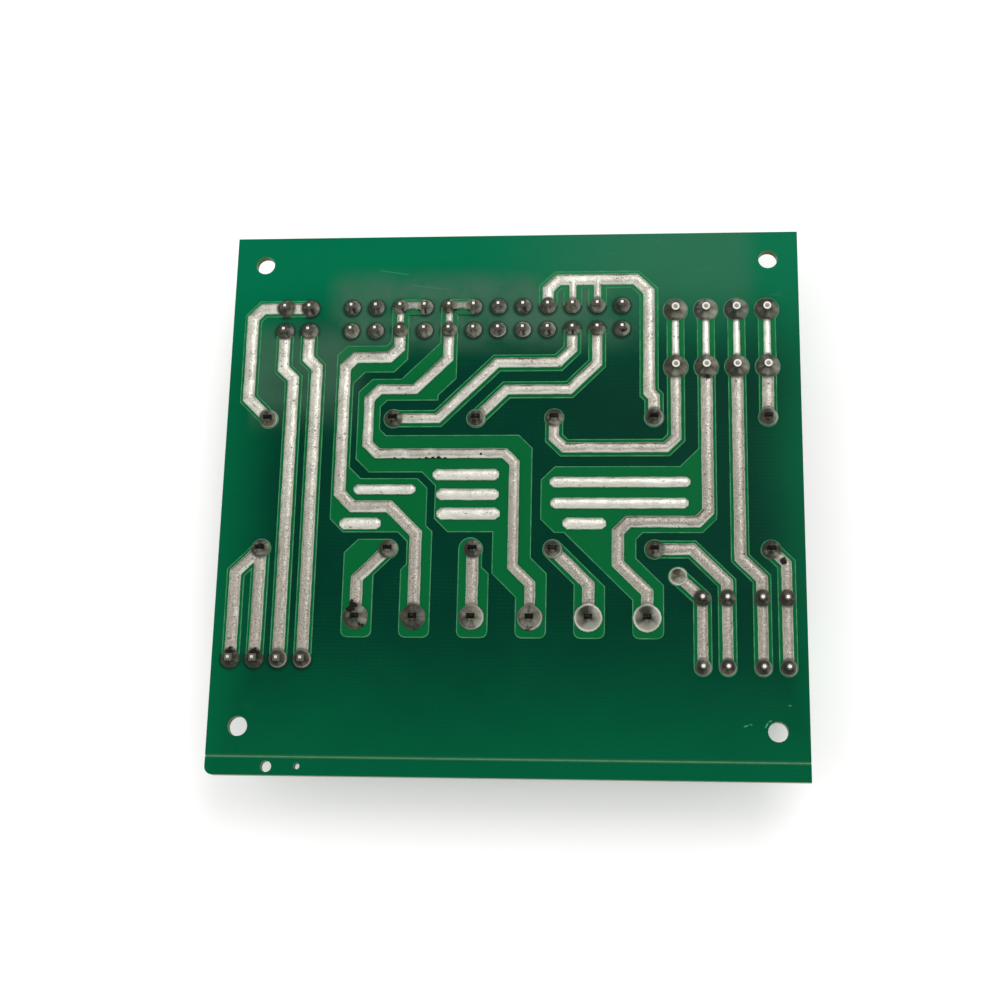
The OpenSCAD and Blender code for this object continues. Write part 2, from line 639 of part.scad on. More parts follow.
module copper_tracks() color("seagreen") translate([0, 0, face_z]) difference() {
    union() {
        for (run = concat(runs, necks))
            foil() polygon(strip([for (p = bent(run[0])) at(p)], run[4]));
        for (g = groups, p = g[0]) place(p) cylinder(copper_t, r = g[1] + pad_rim);
        second_pole_copper();
        fourth_pole_copper();
        last_pole_copper();
        first_pole_copper();
        third_pole_copper();
        fifth_pole_copper();
    }
    for (g = groups, p = g[0]) place(p) translate([0, 0, -copper_t]) cylinder(3 * copper_t, r = g[2]);
}

// ---- Solder ----

// Domed bar along a route, with a share of its full size at each point
module bead(route, w, shares) {
    sweep = [for (a = [180 : -30 : 0]) [cos(a) * w / 2, sin(a) * bead_h]];
    m = len(sweep);
    n = len(route);
    points = [for (i = [0 : n - 1], s = sweep)
        let (p = route[i] + across(route, i) * s.x * shares[i])
        [p.x, p.y, solder_z + s.y * shares[i]]];
    sides = [for (i = [0 : n - 2], j = [0 : m - 1])
        let (k = (j + 1) % m) [i * m + j, i * m + k, (i + 1) * m + k, (i + 1) * m + j]];
    start = back([for (j = [0 : m - 1]) j]);
    end = [for (j = [0 : m - 1]) (n - 1) * m + j];
    polyhedron(points, concat([start], sides, [end]));
}

module solder_runs() color("silver") {
    for (run = concat(runs, necks)) {
        route = [for (p = drawn_back(bent(run[0]), run[2] + play, run[3] + play)) at(p)];
        bead(route, run[1], [for (p = route) 1]);
    }
}

module solder_bars() color("silver") {
    for (bar = bars) {
        round = bar[3] / 3;
        route = [for (u = [bar[0], bar[0] + round, bar[1] - round, bar[1]]) at([u, bar[2]])];
        bead(route, bar[3], [bar_tip, 1, 1, bar_tip]);
    }
}

// Hollow cone of solder, and the pin's hole through it
module joint(r, hole) {
    neck = (is_list(hole) ? norm(hole) / 2 : hole) + joint_lip;
    difference() {
        rotate_extrude() polygon(concat([[0, 0], [r, 0]],
            [for (a = [0 : 22.5 : 90]) [r - (r - neck) * sin(a), joint_h - (joint_h - joint_foot) * cos(a)]],
            [[0, joint_h]]));
        if (is_list(hole))
            translate([0, 0, joint_h / 2]) cube([hole.x, hole.y, 2 * joint_h], center = true);
        else
            translate([0, 0, -joint_h / 2]) cylinder(2 * joint_h, r = hole);
    }
}

module joints(places, r, hole) {
    for (p = places) translate([at(p).x, at(p).y, solder_z]) joint(r, hole);
}

module solder_joints() color("gray") {
    square_hole = [1, 1] * (plug_pin + 2 * fit);
    joints(long_pins, plug_joint, square_hole);
    joints(small_pins, small_joint, square_hole);
    joints(row_pins, row_joint, [1, 1] * (row_pin + 2 * fit));
    joints(four_pins, four_joint, four_pin_d / 2 + fit);
    joints(pair_pins, pair_joint, pair_pin_d / 2 + fit);
    joints(dry_poles, pole_joint, pole_pin + 2 * [fit, fit]);
    joints(wet_poles, wet_joint, pole_pin + 2 * [fit, fit]);
    joints(fuse_pins, holder_joint, holder_pin + 2 * [fit, fit]);
    joints([link], small_joint, link_d / 2);
}

// ---- Pins and places below the board ----

// Local frame below the board: x across, y down the board, z away from it
module under(p) {
    translate([at(p).x, at(p).y, stand_h]) rotate([180, 0, 0]) children();
}

// Straight pin with four-sided points, from one level to another
module flat_pin(size, low, high) {
    tip = min(size.x, size.y) * pin_taper;
    point = size - 2 * [tip, tip];
    rings = [[low, point], [low + tip, size], [high - tip, size], [high, point]];
    points = [for (r = rings, c = [[-1, -1], [1, -1], [1, 1], [-1, 1]])
        [c.x * r[1].x / 2, c.y * r[1].y / 2, r[0]]];
    sides = [for (i = [0 : 2], j = [0 : 3])
        let (k = (j + 1) % 4) [i * 4 + j, (i + 1) * 4 + j, (i + 1) * 4 + k, i * 4 + k]];
    polyhedron(points, concat([[0, 1, 2, 3]], sides, [[15, 14, 13, 12]]));
}

tip_z = -board_t - pin_out;

// ---- Plug headers ----

module cell(keyed) {
    w = plug_pitch - cell_wall;
    k = cell_key;
    if (keyed)
        polygon([[-w / 2, -w / 2], [w / 2, -w / 2], [w / 2, w / 2 - k], [w / 2 - k, w / 2],
            [-w / 2 + k, w / 2], [-w / 2, w / 2 - k]]);
    else
        square(w, center = true);
}

module plug_shroud(cols, first) {
    l = cols * plug_pitch + 2 * plug_rim;
    w = 2 * plug_pitch + 2 * plug_rim;
    mid = [(cols - 1) * plug_pitch / 2, plug_pitch / 2];
    under(first) difference() {
        union() {
            translate([mid.x - l / 2, mid.y - w / 2, 0]) cube([l, w, stand_h]);
            translate([mid.x - catch[0] / 2, mid.y + w / 2, stand_h - catch_place[1] - catch[2]])
                rotate([90, 0, 90])
                linear_extrude(catch[0])
                polygon([[0, 0], [catch[1], 0], [catch[1], catch_place[0]], [0, catch[2]]]);
        }
        for (c = [0 : cols - 1], r = [0, 1]) translate([c * plug_pitch, r * plug_pitch, 0]) {
            translate([0, 0, cell_floor])
                linear_extrude(stand_h)
                rotate(r * 180)
                cell((c + r) % 2 == 0);
            translate([0, 0, cell_floor / 2])
                cube([plug_pin + 2 * fit, plug_pin + 2 * fit, 2 * cell_floor], center = true);
        }
        translate([mid.x, mid.y, 0]) cube([l + past, channel[0], 2 * channel[1]], center = true);
    }
}

module long_header() color("ivory") plug_shroud(plug_cols, long_pin(0, 0));
module small_header() color("ivory") plug_shroud(2, small_pin(0, 0));

module long_header_pins() color("gold") {
    for (p = long_pins) under(p) flat_pin([plug_pin, plug_pin], tip_z, stand_h - pin_back);
}

module small_header_pins() color("gold") {
    for (p = small_pins) under(p) flat_pin([plug_pin, plug_pin], tip_z, stand_h - pin_back);
}

// ---- Four-pin header ----

module row_header() color("ivory") {
    wall_l = 3 * row_pitch;
    back_y = -row_strip_w / 2;
    under(row_at(0)) difference() {
        union() {
            for (i = [0 : 3]) translate([(i - 0.5) * row_pitch, back_y, 0])
                linear_extrude(row_strip_h)
                polygon([[0, 0], [row_pitch, 0],
                    [row_pitch, row_strip_w - row_notch], [row_pitch - row_notch, row_strip_w],
                    [row_notch, row_strip_w], [0, row_strip_w - row_notch]]);
            translate([1.5 * row_pitch - wall_l / 2, back_y, 0])
                rotate([90, 0, 90])
                linear_extrude(wall_l)
                polygon([[0, 0], [row_wall_t, 0], [row_wall_t, row_strip_h + row_ridge[1]],
                    [row_wall_t + row_ridge[0], row_strip_h + row_ridge[2]],
                    [row_wall_t, row_strip_h + row_wall_h], [0, row_strip_h + row_wall_h]]);
        }
        for (i = [0 : 3]) translate([i * row_pitch, 0, row_strip_h / 2])
            cube([row_pin + 2 * fit, row_pin + 2 * fit, 2 * row_strip_h], center = true);
    }
}

module row_header_pins() color("gold") {
    for (p = row_pins) under(p) flat_pin([row_pin, row_pin], tip_z, row_strip_h + row_pin_l);
}

// ---- Clamp terminals ----
// Local frame: first pole's pin in the row nearest the wires, wires along y

cage_in = 0.6;
screw_at = cage_in + (chamber_l - cage_in) / 2;
chamber_top = bus_z + chamber_h;

module clamp_body(count, pitch, rows) {
    w = pitch - clamp_wall;
    l = count * pitch + clamp_wall;
    end = rows + clamp_over[1];
    difference() {
        translate([-pitch / 2 - clamp_wall / 2, 0, 0])
            rotate([90, 0, 90])
            linear_extrude(l)
            polygon([[-clamp_over[0], 0], [end, 0], [end, clamp_h - clamp_slope[1]],
                [end - clamp_slope[0], clamp_h], [0, clamp_h], [-clamp_over[0], chamber_top + clamp_brow]]);
        for (i = [0 : count - 1]) translate([i * pitch, 0, 0]) {
            translate([-w / 2, -2 * clamp_over[0], bus_z])
                cube([w, 2 * clamp_over[0] + chamber_l, chamber_h]);
            translate([-w / 2, -clamp_over[0] / 2, -past])
                cube([w, rows + clamp_over[0] / 2 + clamp_over[1] / 2, bus_z + past]);
            translate([0, screw_at, chamber_top - past])
                cylinder(clamp_h, r = clamp_head[0] + play);
        }
    }
}

module clamp_contact(pitch, rows, pin_d) {
    w = pitch - clamp_wall - 2 * play;
    reach = min(clamp_over[0], clamp_over[1]) / 2 - play;
    translate([-w / 2, -reach, bus_z - bus_t]) cube([w, rows + 2 * reach, bus_t]);
    for (y = [0, rows]) translate([0, y, 0]) difference() {
        translate([0, 0, tip_z]) cylinder(bus_z - bus_t / 2 - tip_z, d = pin_d);
        translate([0, 0, tip_z - skin]) cylinder(pin_d * pin_taper, r1 = pin_d * pin_taper, r2 = 0);
    }
    translate([0, chamber_l - play, bus_z + chamber_h / 2])
        rotate([90, 0, 0])
        linear_extrude(chamber_l - play - cage_in)
        difference() {
            square([w, chamber_h - 2 * play], center = true);
            square([w - 2 * cage_t, chamber_h - 2 * play - 2 * cage_t], center = true);
        }
}

module clamp_contacts(count, pitch, rows, pin_d) {
    for (i = [0 : count - 1]) translate([i * pitch, 0, 0]) difference() {
        clamp_contact(pitch, rows, pin_d);
        translate([0, screw_at, chamber_top - 2 * cage_t])
            cylinder(clamp_h, r = clamp_shank + play);
    }
}

module clamp_screws(count, pitch) {
    for (i = [0 : count - 1]) translate([i * pitch, screw_at, chamber_top]) difference() {
        union() {
            cylinder(clamp_head[1], r = clamp_head[0]);
            translate([0, 0, -clamp_reach]) cylinder(clamp_reach, r = clamp_shank);
        }
        translate([0, 0, clamp_head[1]])
            cube([3 * clamp_head[0], clamp_slot[0], 2 * clamp_slot[1]], center = true);
    }
}

module pair_frame(side) {
    under(pair_at(side, 1, 1)) rotate(180) children();
}

module four_pole_terminal() color("seagreen") under(four_first) clamp_body(4, four_pitch, four_rows);
module four_pole_contacts() color("silver") under(four_first)
    clamp_contacts(4, four_pitch, four_rows, four_pin_d);
module four_pole_screws() color("silver") under(four_first) clamp_screws(4, four_pitch);
module left_pair_terminal() color("seagreen") pair_frame(0) clamp_body(2, pair_pitch, pair_rows);
module left_pair_contacts() color("silver") pair_frame(0)
    clamp_contacts(2, pair_pitch, pair_rows, pair_pin_d);
module left_pair_screws() color("silver") pair_frame(0) clamp_screws(2, pair_pitch);
module right_pair_terminal() color("seagreen") pair_frame(1) clamp_body(2, pair_pitch, pair_rows);
module right_pair_contacts() color("silver") pair_frame(1)
    clamp_contacts(2, pair_pitch, pair_rows, pair_pin_d);
module right_pair_screws() color("silver") pair_frame(1) clamp_screws(2, pair_pitch);

// ---- Barrier strip ----

plate_top = strip_base + plate_t;
washer_top = plate_top + washer[1];

module barrier_strip() color("dimgray") under(pole_first) difference() {
    union() {
        translate([-pole_pitch / 2, -strip_over[0], 0])
            cube([poles * pole_pitch, strip_over[0] + strip_over[1], strip_base]);
        translate([-pole_pitch / 2, -strip_over[0], 0]) cube([poles * pole_pitch, barrier_t, stand_h]);
        for (i = [0 : poles]) translate([(i - 0.5) * pole_pitch - barrier_t / 2, 0, 0])
            rotate([90, 0, 90])
            linear_extrude(barrier_t)
            polygon([[-strip_over[0], 0], [strip_over[1], 0], [strip_over[1], stand_h - barrier_cut[1]],
                [strip_over[1] - barrier_cut[0], stand_h], [-strip_over[0], stand_h]]);
    }
    for (i = [0 : poles - 1]) translate([i * pole_pitch, 0, 0]) {
        translate([0, 0, strip_base / 2])
            cube([pole_pin.x + 2 * fit, pole_pin.y + 2 * fit, 2 * strip_base], center = true);
        translate([0, pole_screw, -past]) cylinder(strip_base + 2 * past, r = pole_shank + play);
    }
}

module barrier_contacts() color("silver") {
    w = pole_pitch - barrier_t - 2 * play;
    start = barrier_t + play - strip_over[0];
    for (p = [for (i = [0 : poles - 1]) pole_at(i)]) under(p) difference() {
        union() {
            translate([-w / 2, start, strip_base]) cube([w, strip_over[1] - start - plate_back, plate_t]);
            flat_pin(pole_pin, tip_z, strip_base + plate_t / 2);
        }
        translate([0, pole_screw, strip_base - past]) cylinder(plate_t + 2 * past, r = pole_shank + play);
    }
}

module barrier_washers() color("silver") {
    for (i = [0 : poles - 1]) under(pole_at(i)) translate([0, pole_screw, plate_top]) difference() {
        translate([-washer[0] / 2, -washer[0] / 2, 0]) cube([washer[0], washer[0], washer[1]]);
        translate([0, 0, -past]) cylinder(washer[1] + 2 * past, r = pole_shank + play);
    }
}

module barrier_screws() color("silver") {
    for (i = [0 : poles - 1]) under(pole_at(i)) translate([0, pole_screw, washer_top]) difference() {
        union() {
            rotate_extrude() polygon([[0, 0], [pole_head[0], 0], [pole_head[0], pole_crown[1]],
                [pole_crown[0], pole_head[1]], [0, pole_head[1]]]);
            translate([0, 0, shank_gap - washer_top]) cylinder(washer_top - shank_gap, r = pole_shank);
        }
        for (turn = [0, 90]) rotate(turn)
            translate([0, 0, pole_head[1]])
            cube([pole_slot[0], pole_slot[1], 2 * pole_slot[2]], center = true);
    }
}

// ---- Fuse holders and fuses ----

cap_gap = (holder_pins - fuse_l) / 2;
axis_z = holder_floor + clip_t + play + cap_r;

module holder_frame(i) {
    under(fuse_at(i, 0.5)) children();
}

module end_wall() {
    w = holder_w / 2;
    polygon([[-w, 0], [w, 0], [w, holder_h - holder_corner], [w - holder_corner, holder_h],
        [holder_corner - w, holder_h], [-w, holder_h - holder_corner]]);
}

module holder(i) color("dimgray") holder_frame(i) difference() {
    l = holder_pins + 2 * holder_over;
    union() {
        translate([-holder_w / 2, -l / 2, 0]) cube([holder_w, l, holder_floor]);
        for (side = [-1, 1]) translate([side * (holder_w - holder_rail[0]) / 2, 0, holder_rail[1] / 2])
            cube([holder_rail[0], l, holder_rail[1]], center = true);
        for (end = [-l / 2 + holder_end, l / 2]) translate([0, end, 0])
            rotate([90, 0, 0]) linear_extrude(holder_end) end_wall();
    }
    for (end = [-1, 1]) translate([0, end * holder_pins / 2, holder_floor / 2])
        cube([holder_pin.x + 2 * fit, holder_pin.y + 2 * fit, 2 * holder_floor], center = true);
}

// Spring clip in section: a ring open at its mouth, with two lips
module clip_section() {
    inner = cap_r + play;
    outer = inner + clip_t;
    difference() {
        union() {
            difference() {
                circle(outer);
                polygon([[0, 0], 2 * outer * [sin(clip_mouth), cos(clip_mouth)], [0, 3 * outer],
                    2 * outer * [-sin(clip_mouth), cos(clip_mouth)]]);
            }
            for (side = [0, 1]) mirror([side, 0])
                translate((inner + clip_t / 2) * [sin(clip_mouth), cos(clip_mouth)])
                rotate(-clip_mouth / 2)
                translate([-clip_t / 2, -clip_t / 2]) square([clip_t, clip_lip]);
        }
        circle(inner);
    }
}

// Contact at one end of a fuse: pin, foot, end stop and spring clip
module contact() {
    clip_end = cap_gap + cap_l - clip_margin[0];
    flat_pin(holder_pin, tip_z, holder_floor + clip_t / 2);
    translate([-clip_foot / 2, -holder_pin.y / 2, holder_floor])
        cube([clip_foot, clip_end + holder_pin.y / 2, clip_t]);
    translate([-clip_foot / 2, cap_gap - play - clip_t, holder_floor])
        cube([clip_foot, clip_t, axis_z - holder_floor]);
    translate([0, clip_end, axis_z])
        rotate([90, 0, 0])
        linear_extrude(cap_l - clip_margin[0] - clip_margin[1])
        clip_section();
}

module clips(i) color("silver") {
    under(fuse_at(i, 0)) contact();
    under(fuse_at(i, 1)) rotate(180) contact();
}

module fuse_frame(i) {
    holder_frame(i) translate([0, 0, axis_z]) rotate([90, 0, 0]) children();
}

module caps(i) color("silver") fuse_frame(i) {
    for (end = [0, 1]) mirror([0, 0, end]) translate([0, 0, fuse_l / 2 - cap_l]) difference() {
        cylinder(cap_l, r = cap_r);
        translate([0, 0, -past]) cylinder(cap_l - cap_t + past, r = cap_r - cap_t);
    }
}

module glass(i) color("azure") fuse_frame(i) {
    r = cap_r - cap_t - fit;
    l = fuse_l - 2 * cap_t;
    difference() {
        cylinder(l, r = r, center = true);
        cylinder(l + past, r = r - glass_t, center = true);
    }
}

module wire(i) color("gainsboro") fuse_frame(i)
    cylinder(fuse_l - 2 * cap_t, d = wire_d, center = true);

circuit_board();
copper_tracks();
solder_runs();
solder_bars();
solder_joints();
long_header();
long_header_pins();
small_header();
small_header_pins();
row_header();
row_header_pins();
four_pole_terminal();
four_pole_contacts();
four_pole_screws();
left_pair_terminal();
left_pair_contacts();
left_pair_screws();
right_pair_terminal();
right_pair_contacts();
right_pair_screws();
barrier_strip();
barrier_contacts();
barrier_washers();
barrier_screws();
for (i = [0 : 5]) {
    holder(i);
    clips(i);
    caps(i);
    glass(i);
    wire(i);
}
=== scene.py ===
"""Fuse board, solder side up: finishes, poured solder and the raised edges of its tracks."""

import math

import bmesh
import bpy
import numpy as np
from mathutils import Matrix, Vector, noise
from mathutils.kdtree import KDTree


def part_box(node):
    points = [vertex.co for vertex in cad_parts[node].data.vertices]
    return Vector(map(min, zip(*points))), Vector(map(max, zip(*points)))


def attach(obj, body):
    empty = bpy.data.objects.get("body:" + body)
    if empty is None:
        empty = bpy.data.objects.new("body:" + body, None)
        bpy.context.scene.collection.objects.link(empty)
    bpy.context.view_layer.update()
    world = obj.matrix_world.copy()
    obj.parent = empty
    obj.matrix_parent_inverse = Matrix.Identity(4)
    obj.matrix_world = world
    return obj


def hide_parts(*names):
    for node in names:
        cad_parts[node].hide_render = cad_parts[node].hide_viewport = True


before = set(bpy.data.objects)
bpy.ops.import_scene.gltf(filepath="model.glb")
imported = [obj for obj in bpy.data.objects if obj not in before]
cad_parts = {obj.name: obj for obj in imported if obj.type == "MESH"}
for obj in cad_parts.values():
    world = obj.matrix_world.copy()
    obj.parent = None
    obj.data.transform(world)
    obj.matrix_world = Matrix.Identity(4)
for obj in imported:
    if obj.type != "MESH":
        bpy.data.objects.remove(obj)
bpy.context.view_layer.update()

MM = 0.001
SCENE = bpy.context.scene

# Levels of the board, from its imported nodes
BOARD_LOW, BOARD_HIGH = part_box("circuit_board")
BOARD_TOP = BOARD_HIGH.z
SOLDER_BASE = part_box("copper_tracks")[1].z

# Numbers in the names of the fuse holders' nodes
HOLDERS = range(1, 7)

# Camera: where it stands, what it aims at, how far it leans, its sensor and its lens in mm
CAMERA_PLACE = Vector((20.87, -69.51, 272.98)) * MM
CAMERA_AIM = Vector((-1.455, -0.856, 14.4)) * MM
CAMERA_ROLL = math.radians(1.245)
CAMERA_SENSOR = 36
CAMERA_LENS = 58.454

# Floor: half its width, how far it lies below the components, and its extra white where it is seen
FLOOR_REACH = 3.0
FLOOR_DROP = 0.02 * MM
FLOOR_GLOW = 0.2
# World strength on the object
FILL = 0.72
# Lamps: name, place, width, power
LAMPS = (
    ("key", (0.25, 0.4, 0.8), 0.6, 2.5),
    ("side", (-0.5, -0.1, 0.6), 0.6, 0.8),
)

# Score line in mm: its distance from the far edge, and from its middle to where it ends and is full
SCORE_DOWN = 89.8
SCORE_FADE = 0.22, 0.1
# Scratches in the lacquer: start across and down the board in mm, slope in degrees, length in mm
# and strength
SCRATCHES = (
    (86.0, 84.3, -19, 1.0, 0.6),
    (86.9, 83.8, 16, 0.7, 0.5),
    (89.4, 84.5, -60, 1.2, 0.7),
    (89.9, 83.5, -24, 0.8, 0.6),
    (93.0, 80.8, 4, 0.8, 0.5),
    (25.0, 6.2, 9, 5.5, 0.16),
    (30.5, 9.0, 7, 7.0, 0.1),
)
# Dried flux on the lacquer, in mm across and down the board: where each patch starts, is full,
# thins out and ends. The veil only thins out down the board.
HAZE_ROUND_HEADER = (15, 21, 62, 74), (5, 11, 16, 23)
HAZE_BESIDE_HEADER = (3, 4.5, 18, 25), (14, 20, 27, 37)
VEIL = (40, 75, 86, 91), (8, 20)
VEIL_STRENGTH = 0.42

# Poured solder: its mesh, how far its beads run under the joints, and its unevenness
POUR_VOXEL = 0.125 * MM
POUR_SMOOTHING = 3
POUR_TRIM = 0.045 * MM
POUR_REACH = 0.5
SWELL = 0.05 * MM
RIPPLE = 0.05 * MM
RIPPLE_SIZE = 1.7 * MM
GRIT = 0.014 * MM
GRIT_SIZE = 0.4 * MM
WANDER = 0.03 * MM
WANDER_SIZE = 1.2 * MM
WANDER_SEED = 7
# Beads' square ends: their least area, how near a joint's foot they are drawn under it, and how far
# the others run on
END_AREA = 0.25 * MM * MM
END_NEAR = 0.3 * MM
END_RUN = 0.6 * MM
# The solder's pieces, from left to right, and how far across the board each but the last goes
SOLDER_LOTS = "left_solder", "middle_solder", "right_solder"
LOT_ENDS = 35, 65

# Bridges between plug pins: from and to across the board and down it, in mm, and how they arch
BRIDGES = ((29.1, 33.3, 13.15), (37.5, 41.7, 13.15))
BRIDGE_REACH = 1.5 * MM
BRIDGE_ARCH = 0.62 * MM
# In their middle: how far they look like a joint, their least tone, and the most soot and painted
# shadow below
BRIDGE_JOINT = 0.65
BRIDGE_TONE = 0.6
BRIDGE_SOOT_SHADOW = 0.9

# Cones of the joints: how closely they climb the pin, how high, their steep foot and their slices
CONE_NECK = 0.66
CONE_RISE = 1.25
CONE_FOOT = 0.16 * MM
CONE_SLICES = 5
# The link's joint has no pin: its crown is smaller than this, its cushion narrower and lower
LINK_CROWN = 0.6 * MM
LINK_NECK = 0.5
LINK_RISE = 0.55

# What the poured solder carries at each point: how far it is a joint, a joint's pale rim as a
# painted highlight, burnt, its tone with painted light and shade (from 0 to 1), how far it turns to
# the beads' painted light, the painted shade line beside a pin, and clean of tarnish
SOLDER_MARKS = ("joint", "rim_highlight", "soot", "tone_and_shading", "side", "gap", "clean")
# Shares of a joint's foot: where its look ends and over what share it fades, and its pale rim, a
# painted highlight
JOINT_END = 1.25
JOINT_FADE = 0.3
RIM_AT = 0.93
RIM_SPREAD = 0.07
# Tone of a joint, its swing in painted light from the pale side to the other, and the way to its
# edge of painted shade
JOINT_TONE = 0.46
TONE_SWING = 0.26
SHADED_WAY = -2.3
# Middle of the dark pool of painted shade on a ringed joint, in shares of its foot
POOL_MIDDLE = Vector((-0.1, 0.3))
# Width in radians of the painted shade line of a plug header's pin, beside the pin
SHADE_LINE_TURN = 0.3
# Chance spread of the joints: their painted shade lines, their tone, the ways to the side of
# painted light and to the shade line
SHADE_LINE_SPREAD = -0.6, 1.4
TONE_SPREAD = -0.14, 0.12
PALE_WAYS = -1.0, 0.5
SHADE_LINE_WAYS = -1.5, -0.9
SPREAD_SEED = 7
# Nodes whose joints are darker with flux, or a little paler, and by how much
SOOTY = {
    "row_header_pins": 0.34,
    "left_pair_contacts": 0.34,
    "right_pair_contacts": 0.34,
    "small_header_pins": 0.16,
    "long_header_pins": -0.08,
    **{f"clips_{number}": 0.14 for number in HOLDERS},
}
# Joints with a painted bright ring and a painted dark pool, and joints with a painted highlight on
# one side of the rim: across and down the board in mm
RINGED = ((61.5, 67.0), (71.0, 67.0), (76.0, 60.1))
RIM_LIT = (
    (45.9, 17.35),
    (50.1, 17.35),
    (7.2, 33.1),
    (42.5, 33.1),
    (72.2, 33.1),
    (91.0, 33.1),
    (55.6, 55.6),
    (42.5, 67.0),
    (52.0, 67.0),
    (11.1, 74.0),
    (15.0, 74.0),
    (79.85, 74.9),
    (83.8, 74.9),
    (89.4, 74.9),
    (93.4, 74.9),
)
RIM_LIT_REACH = 1.2 * MM
# Burnt flux: middle across and down the board in mm, its radius, and how black it is
SOOT = (
    (22.7, 65.3, 1.5, 1.0),
    (24.6, 68.6, 1.1, 0.6),
    (3.1, 73.0, 1.3, 0.75),
    (7.1, 73.0, 1.3, 0.75),
    (33.6, 69.0, 1.2, 0.6),
    (42.6, 69.0, 1.1, 0.5),
    (52.0, 68.8, 1.3, 0.5),
    (67.1, 17.6, 1.0, 0.75),
    # These eight lie along a bead's lower edge: soot, and a painted shadow line
    (29.0, 40.45, 0.7, 0.8),
    (30.4, 40.45, 0.7, 0.7),
    (31.8, 40.45, 0.6, 0.7),
    (33.2, 40.42, 0.6, 0.7),
    (34.4, 40.4, 0.7, 0.8),
    (35.4, 40.36, 0.7, 1.0),
    (36.4, 40.3, 0.7, 1.1),
    (37.4, 40.4, 0.6, 0.95),
    (43.5, 39.5, 0.32, 1.0),
    (81.0, 26.2, 0.9, 0.7),
    (58.3, 20.4, 1.5, 0.35),
    (92.9, 57.6, 0.9, 0.8),
    (80.0, 64.9, 0.9, 0.5),
    (7.3, 55.4, 1.0, 0.7),
    (57.3, 13.6, 1.0, 0.4),
    (8.8, 17.6, 1.0, 0.5),
)
# The way of the beads' painted light: the side facing it gets a painted highlight, the other side a
# painted brown shade
PAINTED_LIGHT_SIDE = Vector((0.45, -0.89, 0))
# Solder that stayed clean: how far round the bars, how clean they are, and the white patch's
# lowest and highest corner, across and down the board in mm
BAR_MARGIN = 0.3 * MM
BAR_CLEAN = 0.6
WHITE_PATCH = (74.8, 22.3), (92.2, 16.0)

# Flux stain and painted shadow on the lacquer round the header joints: its spread, thickness, and
# shift toward the shaded side
STAIN_SHADOW_REACH = 0.6 * MM
STAIN_SHADOW_DEPTH = 0.03 * MM
SHADOW_SHIFT = 0.1 * MM

# Raised edge of the lacquer over the copper, painted pale as a highlight, and how far round a joint
# flux and painted shadow darken it
RIM_WIDTH = 0.16 * MM
RIM_DROP = 0.05 * MM
RING_REACH = 0.3 * MM


# ---- Colours ----


def colour(red, green, blue):
    """A colour from its 0-255 values, as a shader takes it."""
    channels = []
    for value in (red, green, blue):
        share = value / 255
        channels.append(share / 12.92 if share <= 0.04045 else ((share + 0.055) / 1.055) ** 2.4)
    return (*channels, 1)


WHITE = (1, 1, 1, 1)
FLOOR_PAPER = colour(250, 250, 249)

# On the lacquer
DRIED_FLUX = colour(70, 106, 86)
GLASS_CLOTH = colour(4, 112, 72)
SMEARED = colour(80, 140, 110)
SCRATCHED = colour(110, 178, 142)
SAWN_DARK = colour(84, 104, 60)
SAWN_PALE = colour(140, 150, 100)
SCORED = colour(96, 172, 132)
# Flux stain and painted shadow round the header joints
STAIN_AND_SHADOW = colour(8, 30, 22)

# Solder of the beads
BEAD_GREY = colour(142, 138, 127)
BEAD_PALE = colour(194, 192, 181)
BEAD_GRAIN = colour(212, 211, 200)
# Painted glints
PAINTED_GLINT = colour(226, 225, 215)
# Painted highlight on a bead's bright side, and the white of clean solder
BEAD_CLEAN_AND_HIGHLIGHT = colour(240, 240, 230)
# Painted pale reflection on the beads' steep flanks
PAINTED_FLANK_REFLECTION = colour(218, 228, 212)
TARNISH_DARK = colour(124, 117, 108)
TARNISH_PALE = colour(152, 146, 136)
# Painted brown shade on a bead's shaded side
PAINTED_SHADE_BROWN = colour(70, 62, 51)
PITTED = colour(74, 66, 54)

# Solder of the joints: dark to pale by a tone that holds painted light and shade
JOINT_DARK = colour(45, 49, 41)
JOINT_PALE = colour(146, 147, 134)
JOINT_BROWN = colour(104, 84, 66)
# Painted shade line of a pin's side
PIN_SIDE_SHADE = colour(36, 26, 20)
# Painted highlight on a joint's rim
JOINT_RIM = colour(208, 206, 198)
BURNT_FLUX = colour(16, 14, 12)

# Tinned pins and sheet: clean below the board; above it the pins are soiled and the sheet is dark
PIN_CLEAN = colour(206, 203, 195)
PIN_TARNISH = colour(168, 162, 152)
PIN_SOILED = colour(104, 99, 88)
PIN_FLUX = colour(62, 56, 49)
SHEET_CLEAN = colour(206, 203, 194)
SHEET_TARNISH = colour(160, 154, 142)
SHEET_BLACK = colour(20, 18, 16)
SHEET_DARK_GREY = colour(52, 47, 41)


# ---- Node helpers ----

# A colour mix's sockets, whose names it shares with those for numbers and vectors
MIX_FIRST, MIX_SECOND, MIX_RESULT = 6, 7, 2
FLOAT = "NodeSocketFloat"
VECTOR = "NodeSocketVector"


